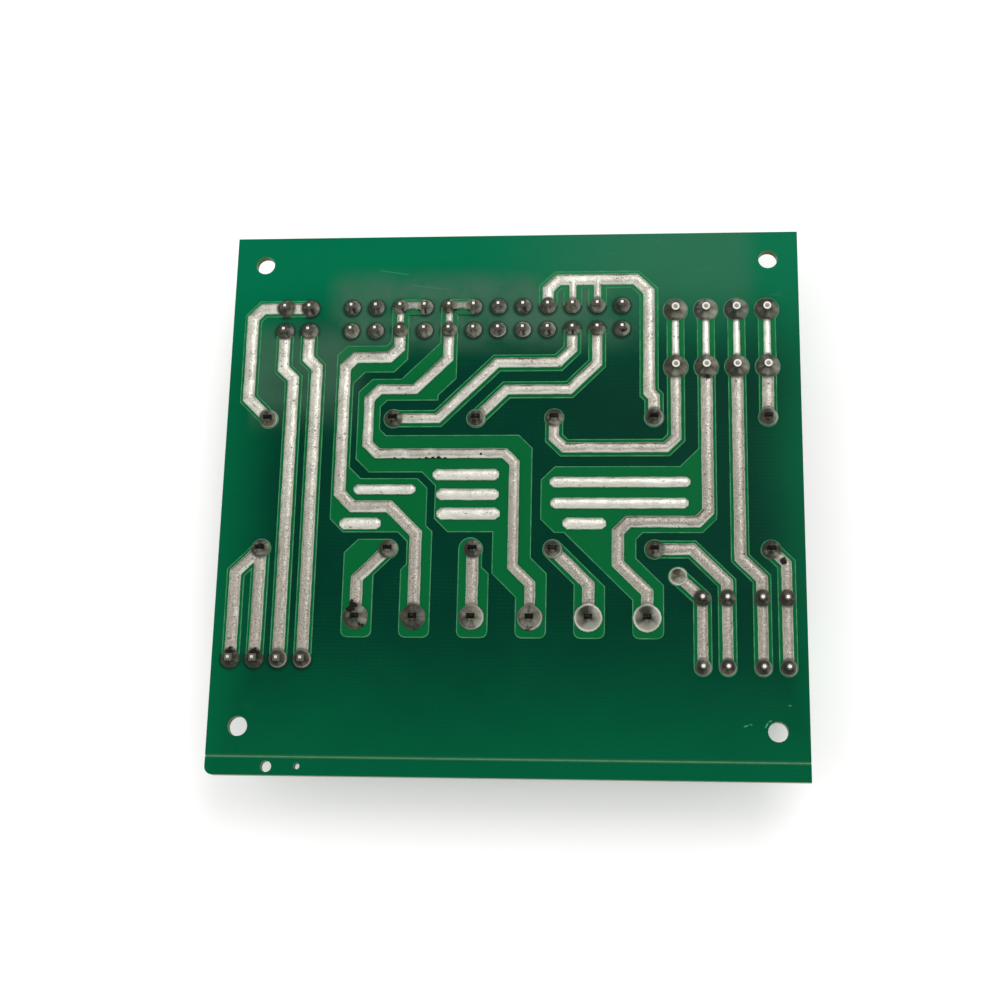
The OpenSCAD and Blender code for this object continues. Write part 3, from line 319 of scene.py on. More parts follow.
class Tree:
    """Short calls for adding and joining nodes."""

    def __init__(self, tree):
        self.tree = tree

    def node(self, kind, **settings):
        made = self.tree.nodes.new(kind)
        for name, value in settings.items():
            setattr(made, name, value)
        return made

    def feed(self, socket, value):
        if isinstance(value, bpy.types.NodeSocket):
            self.tree.links.new(value, socket)
        else:
            socket.default_value = value

    def maths(self, operation, *values):
        made = self.node("ShaderNodeMath", operation=operation)
        for socket, value in zip(made.inputs, values):
            self.feed(socket, value)
        return made.outputs[0]

    def times(self, first, second):
        return self.maths("MULTIPLY", first, second)

    def less(self, first, second):
        return self.maths("SUBTRACT", first, second)

    def most(self, first, second):
        return self.maths("MAXIMUM", first, second)

    def times_plus(self, value, factor, rest):
        return self.maths("MULTIPLY_ADD", value, factor, rest)

    def ramp(self, value, low, high):
        """0 at low, 1 at high and beyond, smooth between."""
        made = self.node("ShaderNodeMapRange", interpolation_type="SMOOTHSTEP")
        self.feed(made.inputs["Value"], value)
        self.feed(made.inputs["From Min"], low)
        self.feed(made.inputs["From Max"], high)
        return made.outputs[0]

    def window(self, value, start, full, thins, end):
        """1 between full and thins, and 0 before start and after end."""
        return self.times(self.ramp(value, start, full), self.ramp(value, end, thins))

    def mix(self, share, first, second, blend="MIX"):
        made = self.node("ShaderNodeMix", data_type="RGBA", blend_type=blend)
        self.feed(made.inputs["Factor"], share)
        self.feed(made.inputs[MIX_FIRST], first)
        self.feed(made.inputs[MIX_SECOND], second)
        return made.outputs[MIX_RESULT]

    def noise(self, place, size, detail=3.0, roughness=0.55):
        made = self.node("ShaderNodeTexNoise")
        self.feed(made.inputs["Vector"], place)
        made.inputs["Scale"].default_value = 1 / size
        made.inputs["Detail"].default_value = detail
        made.inputs["Roughness"].default_value = roughness
        return made.outputs["Fac"]

    def patches(self, place, size, low, high, detail=3.0, roughness=0.55):
        """Soft patches of one size, through the shared group: none at low, full at high."""
        sizes = {"Scale": 1 / size, "Detail": detail, "Roughness": roughness}
        return self.use(PATCHES, Place=place, Low=low, High=high, **sizes)["Share"]

    def place(self):
        return self.node("ShaderNodeTexCoord").outputs["Object"]

    def facing_up(self):
        """How far a face looks up: 1 straight up, -1 straight down."""
        return self.axes(self.node("ShaderNodeTexCoord").outputs["Normal"])[2]

    def mark(self, name, output="Fac"):
        return self.node("ShaderNodeAttribute", attribute_name=name).outputs[output]

    def axes(self, vector):
        made = self.node("ShaderNodeSeparateXYZ")
        self.feed(made.inputs[0], vector)
        return made.outputs

    def stretched(self, place, factors):
        made = self.node("ShaderNodeMapping")
        self.feed(made.inputs["Vector"], place)
        made.inputs["Scale"].default_value = factors
        return made.outputs[0]

    def bump(self, height, depth, strength):
        made = self.node("ShaderNodeBump")
        self.feed(made.inputs["Height"], height)
        made.inputs["Distance"].default_value = depth
        made.inputs["Strength"].default_value = strength
        return made.outputs[0]

    def use(self, group, **values):
        made = self.node("ShaderNodeGroup", node_tree=group)
        for name, value in values.items():
            self.feed(made.inputs[name.replace("_", " ")], value)
        return made.outputs

    def seen(self):
        """1 for what the camera sees, also in gloss and through glass, and 0 for light."""
        path = self.node("ShaderNodeLightPath").outputs
        seen = self.most(path["Is Camera Ray"], path["Is Glossy Ray"])
        return self.most(seen, path["Is Transmission Ray"])


def new_group(name, inputs, outputs):
    """An empty group: itself, its tree, what it is given and what it puts out."""
    made = bpy.data.node_groups.new(name, "ShaderNodeTree")
    for label, kind in inputs:
        made.interface.new_socket(label, in_out="INPUT", socket_type=kind)
    for label, kind in outputs:
        made.interface.new_socket(label, in_out="OUTPUT", socket_type=kind)
    tree = Tree(made)
    return made, tree, tree.node("NodeGroupInput").outputs, tree.node("NodeGroupOutput").inputs


def new_material(name, build, **plain):
    """A material whose Principled sockets take plain values, then what build adds."""
    made = bpy.data.materials.new(name)
    made.use_nodes = True
    tree = Tree(made.node_tree)
    shader = made.node_tree.nodes["Principled BSDF"]
    for label, value in plain.items():
        shader.inputs[label.replace("_", " ")].default_value = value
    build(tree, shader)
    return made


# ---- Effects that several materials share ----

ON_BOARD = [("Place", VECTOR), ("Across", FLOAT), ("Down", FLOAT)]


def patches_group():
    """Soft patches of tarnish, haze or wear: 0 where the noise is at Low, 1 where it is at High."""
    noise_inputs = ("Scale", "Detail", "Roughness")
    labels = (*noise_inputs, "Low", "High")
    group, tree, given, out = new_group(
        "Patches", [("Place", VECTOR), *((label, FLOAT) for label in labels)], [("Share", FLOAT)]
    )
    made = tree.node("ShaderNodeTexNoise")
    tree.feed(made.inputs["Vector"], given["Place"])
    for label in noise_inputs:
        tree.feed(made.inputs[label], given[label])
    tree.feed(out["Share"], tree.ramp(made.outputs["Fac"], given["Low"], given["High"]))
    return group


def grain_group():
    """Fine and coarse unevenness of a surface: a shade round 1 and a height from 0 to 1."""
    group, tree, given, out = new_group(
        "Surface grain",
        [("Place", VECTOR), ("Amount", FLOAT)],
        [("Shade", FLOAT), ("Height", FLOAT)],
    )
    fine = tree.noise(given["Place"], 0.25 * MM, 2.0)
    coarse = tree.noise(given["Place"], 3.0 * MM, 2.0)
    both = tree.times_plus(fine, 0.6, tree.times(coarse, 0.4))
    swing = tree.times(tree.less(both, 0.5), given["Amount"])
    tree.feed(out["Shade"], tree.maths("ADD", swing, 1.0))
    tree.feed(out["Height"], both)
    return group


def weave_group():
    """Glass cloth showing faintly through the lacquer: fine lines both ways."""
    group, tree, given, out = new_group(
        "Glass weave", [("Place", VECTOR)], [("Line", FLOAT), ("Height", FLOAT)]
    )
    axes = tree.axes(given["Place"])
    drift = tree.times(tree.noise(given["Place"], 6 * MM, 2.0), 9.0)
    waves = []
    for axis, pitch in ((1, 0.62 * MM), (0, 0.9 * MM)):
        turn = tree.times_plus(axes[axis], math.tau / pitch, drift)
        waves.append(tree.times_plus(tree.maths("SINE", turn), 0.5, 0.5))
    weave = tree.times_plus(waves[0], 0.75, tree.times(waves[1], 0.25))
    cloud = tree.ramp(tree.noise(given["Place"], 9 * MM, 2.0), 0.3, 0.7)
    tree.feed(out["Line"], tree.times(weave, cloud))
    tree.feed(out["Height"], weave)
    return group


def scratch_group():
    """One fine scratch: how strongly it shows, from its start, slope and length in mm."""
    labels = ("Across", "Down", "Start Across", "Start Down", "Cosine", "Sine", "Length")
    inputs = [(label, FLOAT) for label in labels]
    group, tree, given, out = new_group("Scratch", inputs, [("Mark", FLOAT)])
    right = tree.less(given["Across"], given["Start Across"])
    below = tree.less(given["Down"], given["Start Down"])
    along = tree.times_plus(right, given["Cosine"], tree.times(below, given["Sine"]))
    off = tree.less(tree.times(below, given["Cosine"]), tree.times(right, given["Sine"]))
    half = tree.times(given["Length"], 0.5)
    past = tree.less(tree.maths("ABSOLUTE", tree.less(along, half)), half)
    line = tree.ramp(tree.maths("ABSOLUTE", off), 0.15, 0.03)
    tree.feed(out["Mark"], tree.times(line, tree.ramp(past, 0, -0.4)))
    return group


def edge_sheen_group():
    """Shares of two paler tones of lacquer, a painted sheen: one along the far edge, and one along
    the others.
    """
    group, tree, given, out = new_group("Pale edges", ON_BOARD, [("Far", FLOAT), ("Near", FLOAT)])
    across, down = given["Across"], given["Down"]
    wander = tree.times(tree.less(tree.noise(given["Place"], 22 * MM, 2.0), 0.5), 9.0)
    lower = tree.maths("ADD", down, wander)
    left = tree.ramp(tree.times_plus(wander, 0.4, across), 12, -2)
    right = tree.times(tree.ramp(tree.times_plus(wander, 0.5, across), 88, 99), 0.8)
    near = tree.times(tree.ramp(lower, 64, 97), 0.9)
    tree.feed(out["Far"], tree.ramp(lower, 27, 4))
    tree.feed(out["Near"], tree.most(tree.most(left, right), near))
    return group


def flux_haze_group():
    """Share of dried flux: clouds round the long header's pins and left of them, a veil right."""
    group, tree, given, out = new_group("Flux haze", ON_BOARD, [("Share", FLOAT)])
    across, down = given["Across"], given["Down"]
    cloud = tree.ramp(tree.noise(given["Place"], 7 * MM, 4.0, 0.6), 0.15, 0.65)

    def patch(spans):
        return tree.times(tree.window(across, *spans[0]), tree.window(down, *spans[1]))

    full, end = VEIL[1]
    veil = tree.times(tree.ramp(down, end, full), VEIL_STRENGTH)
    veil = tree.times(tree.window(across, *VEIL[0]), veil)
    beside = tree.times(patch(HAZE_BESIDE_HEADER), tree.times_plus(cloud, 0.3, 0.42))
    share = tree.most(tree.times(patch(HAZE_ROUND_HEADER), cloud), veil)
    tree.feed(out["Share"], tree.most(share, beside))
    return group


PATCHES = patches_group()
GRAIN = grain_group()
WEAVE = weave_group()
SCRATCH = scratch_group()
EDGE_SHEEN = edge_sheen_group()
FLUX_HAZE = flux_haze_group()


# ---- Lacquer ----


def board_place(tree):
    """A place, and how far across from the left edge and down from the far edge it is, in mm."""
    place = tree.place()
    axes = tree.axes(place)
    across = tree.times(tree.less(axes[0], BOARD_LOW.x), 1 / MM)
    down = tree.times(tree.less(BOARD_HIGH.y, axes[1]), 1 / MM)
    return place, across, down


def scratches(tree, across, down):
    """How strongly the fine scratches show."""
    total = 0.0
    for start_across, start_down, slope, length, strength in SCRATCHES:
        mark = tree.use(
            SCRATCH,
            Across=across,
            Down=down,
            Start_Across=start_across,
            Start_Down=start_down,
            Cosine=math.cos(math.radians(slope)),
            Sine=math.sin(math.radians(slope)),
            Length=length,
        )["Mark"]
        total = tree.times_plus(mark, strength, total)
    return total


def build_lacquer(tree, shader, deep, pale, near, haze_share, stained_and_shadowed):
    """Lacquer: paler to the edges in a painted sheen, hazed, smeared and scratched, with cloth
    showing through, and on the film round header joints darkened by flux stain and painted shadow.
    """
    place, across, down = board_place(tree)
    on_board_place = {"Place": place, "Across": across, "Down": down}
    # Painted sheen: paler toward the edges
    edges = tree.use(EDGE_SHEEN, **on_board_place)
    base = tree.mix(edges["Near"], colour(*deep), colour(*near))
    base = tree.mix(edges["Far"], base, colour(*pale))
    haze = tree.times(tree.use(FLUX_HAZE, **on_board_place)["Share"], haze_share)
    base = tree.mix(haze, base, DRIED_FLUX)
    weave = tree.use(WEAVE, Place=place)
    base = tree.mix(tree.times(weave["Line"], 0.09), base, GLASS_CLOTH)
    smear = tree.patches(tree.stretched(place, (0.25, 1, 1)), 2.4 * MM, 0.62, 0.8, 4.0, 0.7)
    smear = tree.times(smear, tree.times_plus(edges["Far"], 0.16, 0.04))
    base = tree.mix(smear, base, SMEARED)
    base = tree.mix(scratches(tree, across, down), base, SCRATCHED)
    grain = tree.use(GRAIN, Place=place, Amount=0.13)
    base = tree.mix(1.0, base, grain["Shade"], "MULTIPLY")
    layers = tree.noise(tree.stretched(place, (0.1, 0.1, 1)), 0.1 * MM, 2.0)
    sawn = tree.mix(layers, SAWN_DARK, SAWN_PALE)
    flat = tree.ramp(tree.maths("ABSOLUTE", tree.facing_up()), 0.6, 0.75)
    base = tree.mix(flat, sawn, base)
    from_score = tree.maths("ABSOLUTE", tree.less(down, SCORE_DOWN))
    from_score = tree.times_plus(tree.noise(place, 1.5 * MM), 0.1, from_score)
    base = tree.mix(tree.times(tree.ramp(from_score, *SCORE_FADE), 0.8), base, SCORED)
    # Flux stain and painted shadow round the header joints
    if stained_and_shadowed:
        base = tree.mix(tree.times(tree.mark("stain_and_shadow"), 0.85), base, STAIN_AND_SHADOW)
    tree.feed(shader.inputs["Base Color"], base)
    dull = tree.times_plus(haze, 0.3, 0.24)
    tree.feed(shader.inputs["Roughness"], tree.times_plus(smear, 0.1, dull))
    relief = tree.times_plus(weave["Height"], 0.5, grain["Height"])
    tree.feed(shader.inputs["Normal"], tree.bump(relief, 0.012 * MM, 0.6))


def lacquer(name, *tones, stained_and_shadowed=False):
    return new_material(
        name,
        lambda tree, shader: build_lacquer(tree, shader, *tones, stained_and_shadowed),
        Specular_IOR_Level=0.02,
    )


def edge_lacquer(name, dark, pale):
    """The lacquer's raised edge over the copper, broken between two tones: the pale edge's painted
    highlight, and the dark ring of flux and painted shadow.
    """

    def build(tree, shader):
        broken = tree.patches(tree.place(), 1.8 * MM, 0.2, 0.8)
        tree.feed(shader.inputs["Base Color"], tree.mix(broken, colour(*dark), colour(*pale)))
        tree.feed(shader.inputs["Roughness"], tree.times_plus(broken, 0.2, 0.3))

    return new_material(name, build, Specular_IOR_Level=0.1)


# ---- Metals ----


def tarnish(tree, place, clean):
    """Share of tarnish: more down and across the board, in patches, and none where it is clean."""
    axes = tree.axes(place)
    reach = tree.times_plus(tree.noise(place, 5 * MM, 2.0), 16 * MM, -8 * MM)
    reach = tree.times_plus(axes[0], 0.25, tree.less(reach, axes[1]))
    share = tree.times(tree.ramp(reach, -36 * MM, 14 * MM), 0.95)
    return tree.times(share, tree.less(1, clean))


def bead_colour(tree, place, mark, grains, pits, flank):
    """Solder on the tracks: bright, with painted glints, pitted, with a painted brown shade along
    one side, a painted highlight along the other and a painted pale reflection on its flanks.
    """
    cloud = tree.patches(place, 2.6 * MM, 0.3, 0.72)
    made = tree.mix(cloud, BEAD_GREY, BEAD_PALE)
    made = tree.mix(tree.times(grains, 0.55), made, BEAD_GRAIN)
    dimmed = tree.mix(grains, TARNISH_DARK, TARNISH_PALE)
    made = tree.mix(tarnish(tree, place, mark["clean"]), made, dimmed)
    # Painted glints
    painted_glints = tree.patches(place, 0.24 * MM, 0.6, 0.7, 2.0)
    made = tree.mix(tree.times(painted_glints, 0.4), made, PAINTED_GLINT)
    lean = tree.less(tree.noise(place, 3.2 * MM, 3.0), 0.5)
    leaning = tree.times_plus(lean, 0.8, mark["side"])
    # Painted brown shade on the side away from the beads' painted light
    painted_shade = tree.less(tree.ramp(leaning, -0.28, -0.55), flank)
    made = tree.mix(tree.times(painted_shade, 0.8), made, PAINTED_SHADE_BROWN)
    # Painted highlight on the side toward it, and the white of clean solder
    clean_and_highlight = tree.most(tree.ramp(leaning, 0.25, 0.55), mark["clean"])
    made = tree.mix(tree.times(clean_and_highlight, 0.5), made, BEAD_CLEAN_AND_HIGHLIGHT)
    # Painted pale reflection on the steep flanks
    made = tree.mix(tree.times(flank, 0.8), made, PAINTED_FLANK_REFLECTION)
    return tree.mix(tree.times(pits, 0.7), made, PITTED)


def joint_colour(tree, place, mark):
    """Solder of the joints: dull, streaked round the pin, browned, with painted light and shade in
    its tone, a painted shade line beside the pin and a painted highlight on its rim.
    """
    streak = tree.patches(tree.mark("turn", "Vector"), 0.8, 0.34, 0.7, 3.0, 0.5)
    tone_and_shading = tree.times_plus(tree.less(streak, 0.5), 0.4, mark["tone_and_shading"])
    made = tree.mix(tree.ramp(tone_and_shading, 0.05, 0.95), JOINT_DARK, JOINT_PALE)
    brown = tree.patches(place, 1.6 * MM, 0.45, 0.75)
    made = tree.mix(tree.times(brown, 0.5), made, JOINT_BROWN)
    made = tree.mix(mark["gap"], made, PIN_SIDE_SHADE)
    return tree.mix(mark["rim_highlight"], made, JOINT_RIM)


def solder_material():
    """Bright and grainy on the tracks, dull and streaked on the joints, black where flux burnt and
    in the painted shadow below the bridges.
    """

    def build(tree, shader):
        place = tree.place()
        mark = {name: tree.mark(name) for name in SOLDER_MARKS}
        grains = tree.patches(place, 0.32 * MM, 0.3, 0.72, 3.0, 0.6)
        pits = tree.patches(place, 0.6 * MM, 0.63, 0.69, 3.0, 0.6)
        # Steep flanks: less metal, and on the beads a painted pale reflection
        flank = tree.ramp(tree.facing_up(), 0.86, 0.6)
        edge = tree.times_plus(tree.noise(place, 0.45 * MM, 4.0, 0.7), 1.5, mark["soot"])
        burnt = tree.times(tree.ramp(edge, 1.15, 1.35), tree.ramp(mark["soot"], 0, 0.1))
        bead = bead_colour(tree, place, mark, grains, pits, flank)
        base = tree.mix(mark["joint"], bead, joint_colour(tree, place, mark))
        tree.feed(shader.inputs["Base Color"], tree.mix(burnt, base, BURNT_FLUX))
        rough = tree.times_plus(grains, -0.12, 0.38)
        rough = tree.times_plus(mark["joint"], 0.2, rough)
        tree.feed(shader.inputs["Roughness"], tree.times_plus(burnt, 0.2, rough))
        plain = tree.most(burnt, tree.times(mark["joint"], 0.8))
        plain = tree.most(plain, tree.times(flank, 0.6))
        tree.feed(shader.inputs["Metallic"], tree.times_plus(plain, -0.8, 0.85))
        grit = tree.noise(place, 0.22 * MM, 3.0, 0.6)
        lumps = tree.noise(place, 0.9 * MM, 2.0)
        height = tree.times_plus(lumps, 1.2, tree.times_plus(pits, -0.8, grit))
        tree.feed(shader.inputs["Normal"], tree.bump(height, 0.07 * MM, 0.7))

    return new_material("solder", build, Specular_IOR_Level=0.15)


def above_board(tree, place):
    """1 above the board's top face and 0 below it."""
    return tree.ramp(tree.axes(place)[2], BOARD_TOP - 0.1 * MM, BOARD_TOP + 0.1 * MM)


def pin_metal(name, tip, slope):
    """Tinned pins, soiled by solder and flux above the board, with a cut end's tip and slopes in
    painted light and shade.
    """

    def build(tree, shader):
        place = tree.place()
        facing = tree.facing_up()
        above = above_board(tree, place)
        cut = tree.times(above, tree.ramp(facing, 0.55, 0.65))
        # Painted light and shade on the cut end: the tip's tone where it faces up, the slopes' tone
        # on its slopes
        end = tree.mix(tree.ramp(facing, 0.8, 0.9), colour(*slope), colour(*tip))
        darkened = tree.less(above, cut)
        grain = tree.use(GRAIN, Place=place, Amount=0.25)
        spots = tree.patches(place, 0.4 * MM, 0.45, 0.75, 4.0, 0.6)
        clean = tree.mix(spots, PIN_CLEAN, PIN_TARNISH)
        dull = tree.mix(spots, PIN_SOILED, PIN_FLUX)
        base = tree.mix(cut, tree.mix(darkened, clean, dull), end)
        base = tree.mix(1.0, base, grain["Shade"], "MULTIPLY")
        tree.feed(shader.inputs["Base Color"], base)
        tree.feed(shader.inputs["Roughness"], tree.times_plus(above, 0.2, 0.34))
        tree.feed(shader.inputs["Metallic"], tree.times_plus(darkened, -0.6, 0.9))
        tree.feed(shader.inputs["Normal"], tree.bump(grain["Height"], 0.01 * MM, 0.5))

    return new_material(name, build, Specular_IOR_Level=0.2)


def cut_sheet():
    """Tinned sheet, black above the board where its cut ends stand."""

    def build(tree, shader):
        place = tree.place()
        darkened = above_board(tree, place)
        grain = tree.use(GRAIN, Place=place, Amount=0.2)
        spots = tree.patches(place, 0.8 * MM, 0.45, 0.75, 4.0, 0.6)
        clean = tree.mix(spots, SHEET_CLEAN, SHEET_TARNISH)
        dull = tree.mix(spots, SHEET_BLACK, SHEET_DARK_GREY)
        base = tree.mix(1.0, tree.mix(darkened, clean, dull), grain["Shade"], "MULTIPLY")
        tree.feed(shader.inputs["Base Color"], base)
        tree.feed(shader.inputs["Roughness"], tree.times_plus(darkened, 0.25, 0.3))
        tree.feed(shader.inputs["Normal"], tree.bump(grain["Height"], 0.01 * MM, 0.5))

    return new_material("cut_sheet", build, Metallic=0.95)


def metal(name, pale, dark, roughness, speck=0.5):
    """Plated sheet or wire, mottled between two colours in specks of a size in mm."""

    def build(tree, shader):
        place = tree.place()
        grain = tree.use(GRAIN, Place=place, Amount=0.2)
        spots = tree.patches(place, speck * MM, 0.45, 0.75, 4.0, 0.6)
        base = tree.mix(spots, colour(*pale), colour(*dark))
        base = tree.mix(1.0, base, grain["Shade"], "MULTIPLY")
        tree.feed(shader.inputs["Base Color"], base)
        tree.feed(shader.inputs["Roughness"], tree.times_plus(spots, 0.15, roughness))
        tree.feed(shader.inputs["Normal"], tree.bump(grain["Height"], 0.01 * MM, 0.5))

    return new_material(name, build, Metallic=1.0)


# ---- Plastics and glass ----


def plastic(name, tint, roughness, milky=0.0):
    """Moulded plastic with a fine spark texture and slight cloudiness."""

    def build(tree, shader):
        place = tree.place()
        grain = tree.use(GRAIN, Place=place, Amount=0.22)
        cloud = tree.patches(place, 8 * MM, 0.3, 0.7)
        paler = tuple(min(255, value + 14) for value in tint)
        base = tree.mix(cloud, colour(*tint), colour(*paler))
        base = tree.mix(1.0, base, grain["Shade"], "MULTIPLY")
        tree.feed(shader.inputs["Base Color"], base)
        tree.feed(shader.inputs["Roughness"], tree.times_plus(cloud, 0.1, roughness))
        tree.feed(shader.inputs["Normal"], tree.bump(grain["Height"], 0.02 * MM, 0.5))

    return new_material(name, build, Subsurface_Weight=milky, Subsurface_Scale=0.001)


def tube_glass():
    """Clear glass, faintly hazed in patches."""

    def build(tree, shader):
        haze = tree.patches(tree.place(), 1.5 * MM, 0.35, 0.8)
        tree.feed(shader.inputs["Roughness"], tree.times_plus(haze, 0.05, 0.02))

    tint = colour(244, 250, 248)
    return new_material("tube_glass", build, Base_Color=tint, Transmission_Weight=1.0, IOR=1.5)


SOLDER = solder_material()
# Lacquer: its deep tone, its paler tones of painted sheen by the far edge and by the others, and
# its share of haze
BOARD_TONES = (0, 52, 37), (0, 108, 72), (0, 93, 58), 0.85
COPPER_TONES = (6, 96, 49), (28, 124, 74), (6, 99, 54), 0.35
BOARD_LACQUER = lacquer("board_lacquer", *BOARD_TONES)
SHADOWED_STAINED_LACQUER = lacquer("shadowed_stained_lacquer", *BOARD_TONES, stained_and_shadowed=True)
COPPER_LACQUER = lacquer("copper_lacquer", *COPPER_TONES)
# Pale raised edge over the copper: a painted highlight
RIM_LACQUER = edge_lacquer("rim_lacquer", (28, 114, 68), (82, 148, 106))
# Dark ring round header pads and below the bridges: flux and painted shadow
FLUX_SHADOW_RING = edge_lacquer("flux_shadow_ring", (4, 34, 26), (16, 58, 44))
# Pins: the tones of a cut end's tip and of its slopes, painted light and shade by how they face:
# most tips carry a painted highlight, and on the clamp pins the dimple's slopes carry it while the
# flat tip is dark
PLUG_PIN = pin_metal("plug_pin", (216, 214, 206), (92, 88, 78))
ROW_PIN = pin_metal("row_pin", (196, 194, 186), (112, 109, 100))
POLE_PIN = pin_metal("pole_pin", (196, 194, 186), (176, 174, 166))
CLAMP_PIN = pin_metal("clamp_pin", (92, 89, 82), (244, 242, 236))
CUT_SHEET = cut_sheet()
ZINC = metal("zinc_plate", (206, 208, 206), (150, 152, 150), 0.3, 0.9)
NICKEL = metal("nickel_plate", (222, 220, 214), (176, 172, 164), 0.16, 1.2)
FUSE_WIRE = metal("fuse_wire", (200, 196, 188), (150, 146, 140), 0.3)
NYLON = plastic("nylon", (222, 217, 200), 0.42, 0.15)
GREEN_PLASTIC = plastic("green_plastic", (24, 110, 72), 0.45)
BLACK_PLASTIC = plastic("black_plastic", (30, 30, 32), 0.42)
HOLDER_PLASTIC = plastic("holder_plastic", (36, 36, 38), 0.5)
GLASS = tube_glass()


# ---- Meshes ----


def on_board(across, down):
    """A place across and down the board in mm, as x and y."""
    return Vector((BOARD_LOW.x + across * MM, BOARD_HIGH.y - down * MM))


def within_box(spot, box):
    """Whether a place lies between a box's two corners, seen from above."""
    low, high = box
    return low.x < spot.x < high.x and low.y < spot.y < high.y


def within(node, spot):
    """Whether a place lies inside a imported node's outline, seen from above."""
    return within_box(spot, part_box(node))


def near_any(spot, places, reach):
    return any((spot - on_board(*place)).length < reach for place in places)


def packed_mesh(*nodes):
    """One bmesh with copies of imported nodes, their loose triangles joined."""
    made = bmesh.new()
    for node in nodes:
        made.from_mesh(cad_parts[node].data)
    bmesh.ops.remove_doubles(made, verts=made.verts, dist=1e-6)
    return made


def flatten(mesh):
    """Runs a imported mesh's triangles together where they make one flat face."""
    angle = math.radians(0.5)
    bmesh.ops.dissolve_limit(mesh, angle_limit=angle, verts=mesh.verts, edges=mesh.edges)
    mesh.normal_update()


def finished(name, mesh, slot_name, *materials):
    """An object at the origin from a bmesh, riding on the board."""
    data = bpy.data.meshes.new(name)
    mesh.to_mesh(data)
    mesh.free()
    for item in materials:
        data.materials.append(item)
    made = bpy.data.objects.new(name, data)
    SCENE.collection.objects.link(made)
    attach(made, "root")
    return made


def islands(mesh):
    """The separate pieces of a bmesh, each as a list of its vertices."""
    left = set(mesh.verts)
    found = []
    while left:
        seed = left.pop()
        piece = [seed]
        waiting = [seed]
        while waiting:
            for edge in waiting.pop().link_edges:
                for vertex in edge.verts:
                    if vertex in left:
                        left.remove(vertex)
                        piece.append(vertex)
                        waiting.append(vertex)
        found.append(piece)
    return found


def corners(piece):
    """Lowest and highest corner of a piece's vertices, seen from above, as plain numbers."""
    xs = [vertex.co.x for vertex in piece]
    ys = [vertex.co.y for vertex in piece]
    return (min(xs), min(ys)), (max(xs), max(ys))


def joint_places():
    """Each solder joint's middle, foot radius, top radius and height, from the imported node."""
    mesh = packed_mesh("solder_joints")
    found = []
    for piece in islands(mesh):
        low, high = corners(piece)
        middle = Vector(((low[0] + high[0]) / 2, (low[1] + high[1]) / 2, 0))
        top = max(vertex.co.z for vertex in piece)
        crown = [vertex for vertex in piece if vertex.co.z > top - 1e-6]
        crown_radius = max((vertex.co.xy - middle.xy).length for vertex in crown)
        found.append((middle, (high[0] - low[0]) / 2, crown_radius, top - SOLDER_BASE))
    mesh.free()
    return sorted(found, key=lambda joint: (round(joint[0].y, 5), joint[0].x))


JOINTS = joint_places()


def joint_tree():
    """A tree that finds the joint nearest to a place."""
    tree = KDTree(len(JOINTS))
    for index, joint in enumerate(JOINTS):
        tree.insert(joint[0], index)
    tree.balance()
    return tree


def nearest_joint(tree, spot):
    return tree.find(Vector((spot.x, spot.y, 0)))[1]


def bridge_share(spot):
    """How far a place lies within a bridge, 1 in its middle, and how far below its centre line."""
    for left, right, down in BRIDGES:
        ends = on_board(left, down), on_board(right, down)
        share = (spot.x - ends[0].x) / (ends[1].x - ends[0].x)
        below = ends[0].y - spot.y
        if 0 < share < 1 and abs(below) < BRIDGE_REACH:
            return math.sin(math.pi * share), below / BRIDGE_REACH
    return 0, 0


# ---- Poured solder: its skin ----


def draw_ends_in(mesh, tree):
    """Runs each bead's square ends on, under the cone of the joint that it meets."""
    flatten(mesh)
    for face in mesh.faces:
        if abs(face.normal.z) > 0.05 or face.calc_area() < END_AREA:
            continue
        end = face.calc_center_median()
        middle, foot, _, _ = JOINTS[nearest_joint(tree, end)]
        gap = (end.xy - middle.xy).length
        reach = gap - POUR_REACH * foot if gap < foot + END_NEAR else END_RUN
        for vertex in face.verts:
            vertex.co += face.normal * reach


def add_slice(mesh, middle, low, high):
    """One slice of a joint, from its (radius, height) below to the one above."""
    bmesh.ops.create_cone(
        mesh,
        cap_ends=True,
        segments=32,
        radius1=low[0],
        radius2=high[0],
        depth=high[1] - low[1],
        matrix=Matrix.Translation((middle.x, middle.y, SOLDER_BASE + (low[1] + high[1]) / 2)),
    )


def add_joints(mesh):
    """A hollow-sided cone of solder round each pin; the link has only a low cushion."""
    for middle, foot, crown, height in JOINTS:
        link = crown < LINK_CROWN
        neck = foot * LINK_NECK if link else crown * CONE_NECK
        top = height * (LINK_RISE if link else CONE_RISE)
        ring = [(foot, 0), (foot, CONE_FOOT)]
        for step in range(1, CONE_SLICES + 1):
            turn = math.radians(90 / CONE_SLICES * step)
            radius = foot - (foot - neck) * math.sin(turn)
            ring.append((radius, top - (top - CONE_FOOT) * math.cos(turn)))
        for low, high in zip(ring, ring[1:]):
            add_slice(mesh, middle, low, high)


def remeshed(mesh, name):
    """The mesh's pieces run into one skin of even small faces, smoothed."""
    data = bpy.data.meshes.new(name)
    mesh.to_mesh(data)
    mesh.free()
    made = bpy.data.objects.new(name, data)
    SCENE.collection.objects.link(made)
    voxels = made.modifiers.new("Voxels", "REMESH")
    voxels.mode = "VOXEL"
    voxels.voxel_size = POUR_VOXEL
    smooth = made.modifiers.new("Smooth", "SMOOTH")
    smooth.iterations = POUR_SMOOTHING
    smooth.factor = 0.5
    graph = bpy.context.evaluated_depsgraph_get()
    out = bmesh.new()
    out.from_mesh(made.evaluated_get(graph).to_mesh())
    bpy.data.objects.remove(made)
    return out


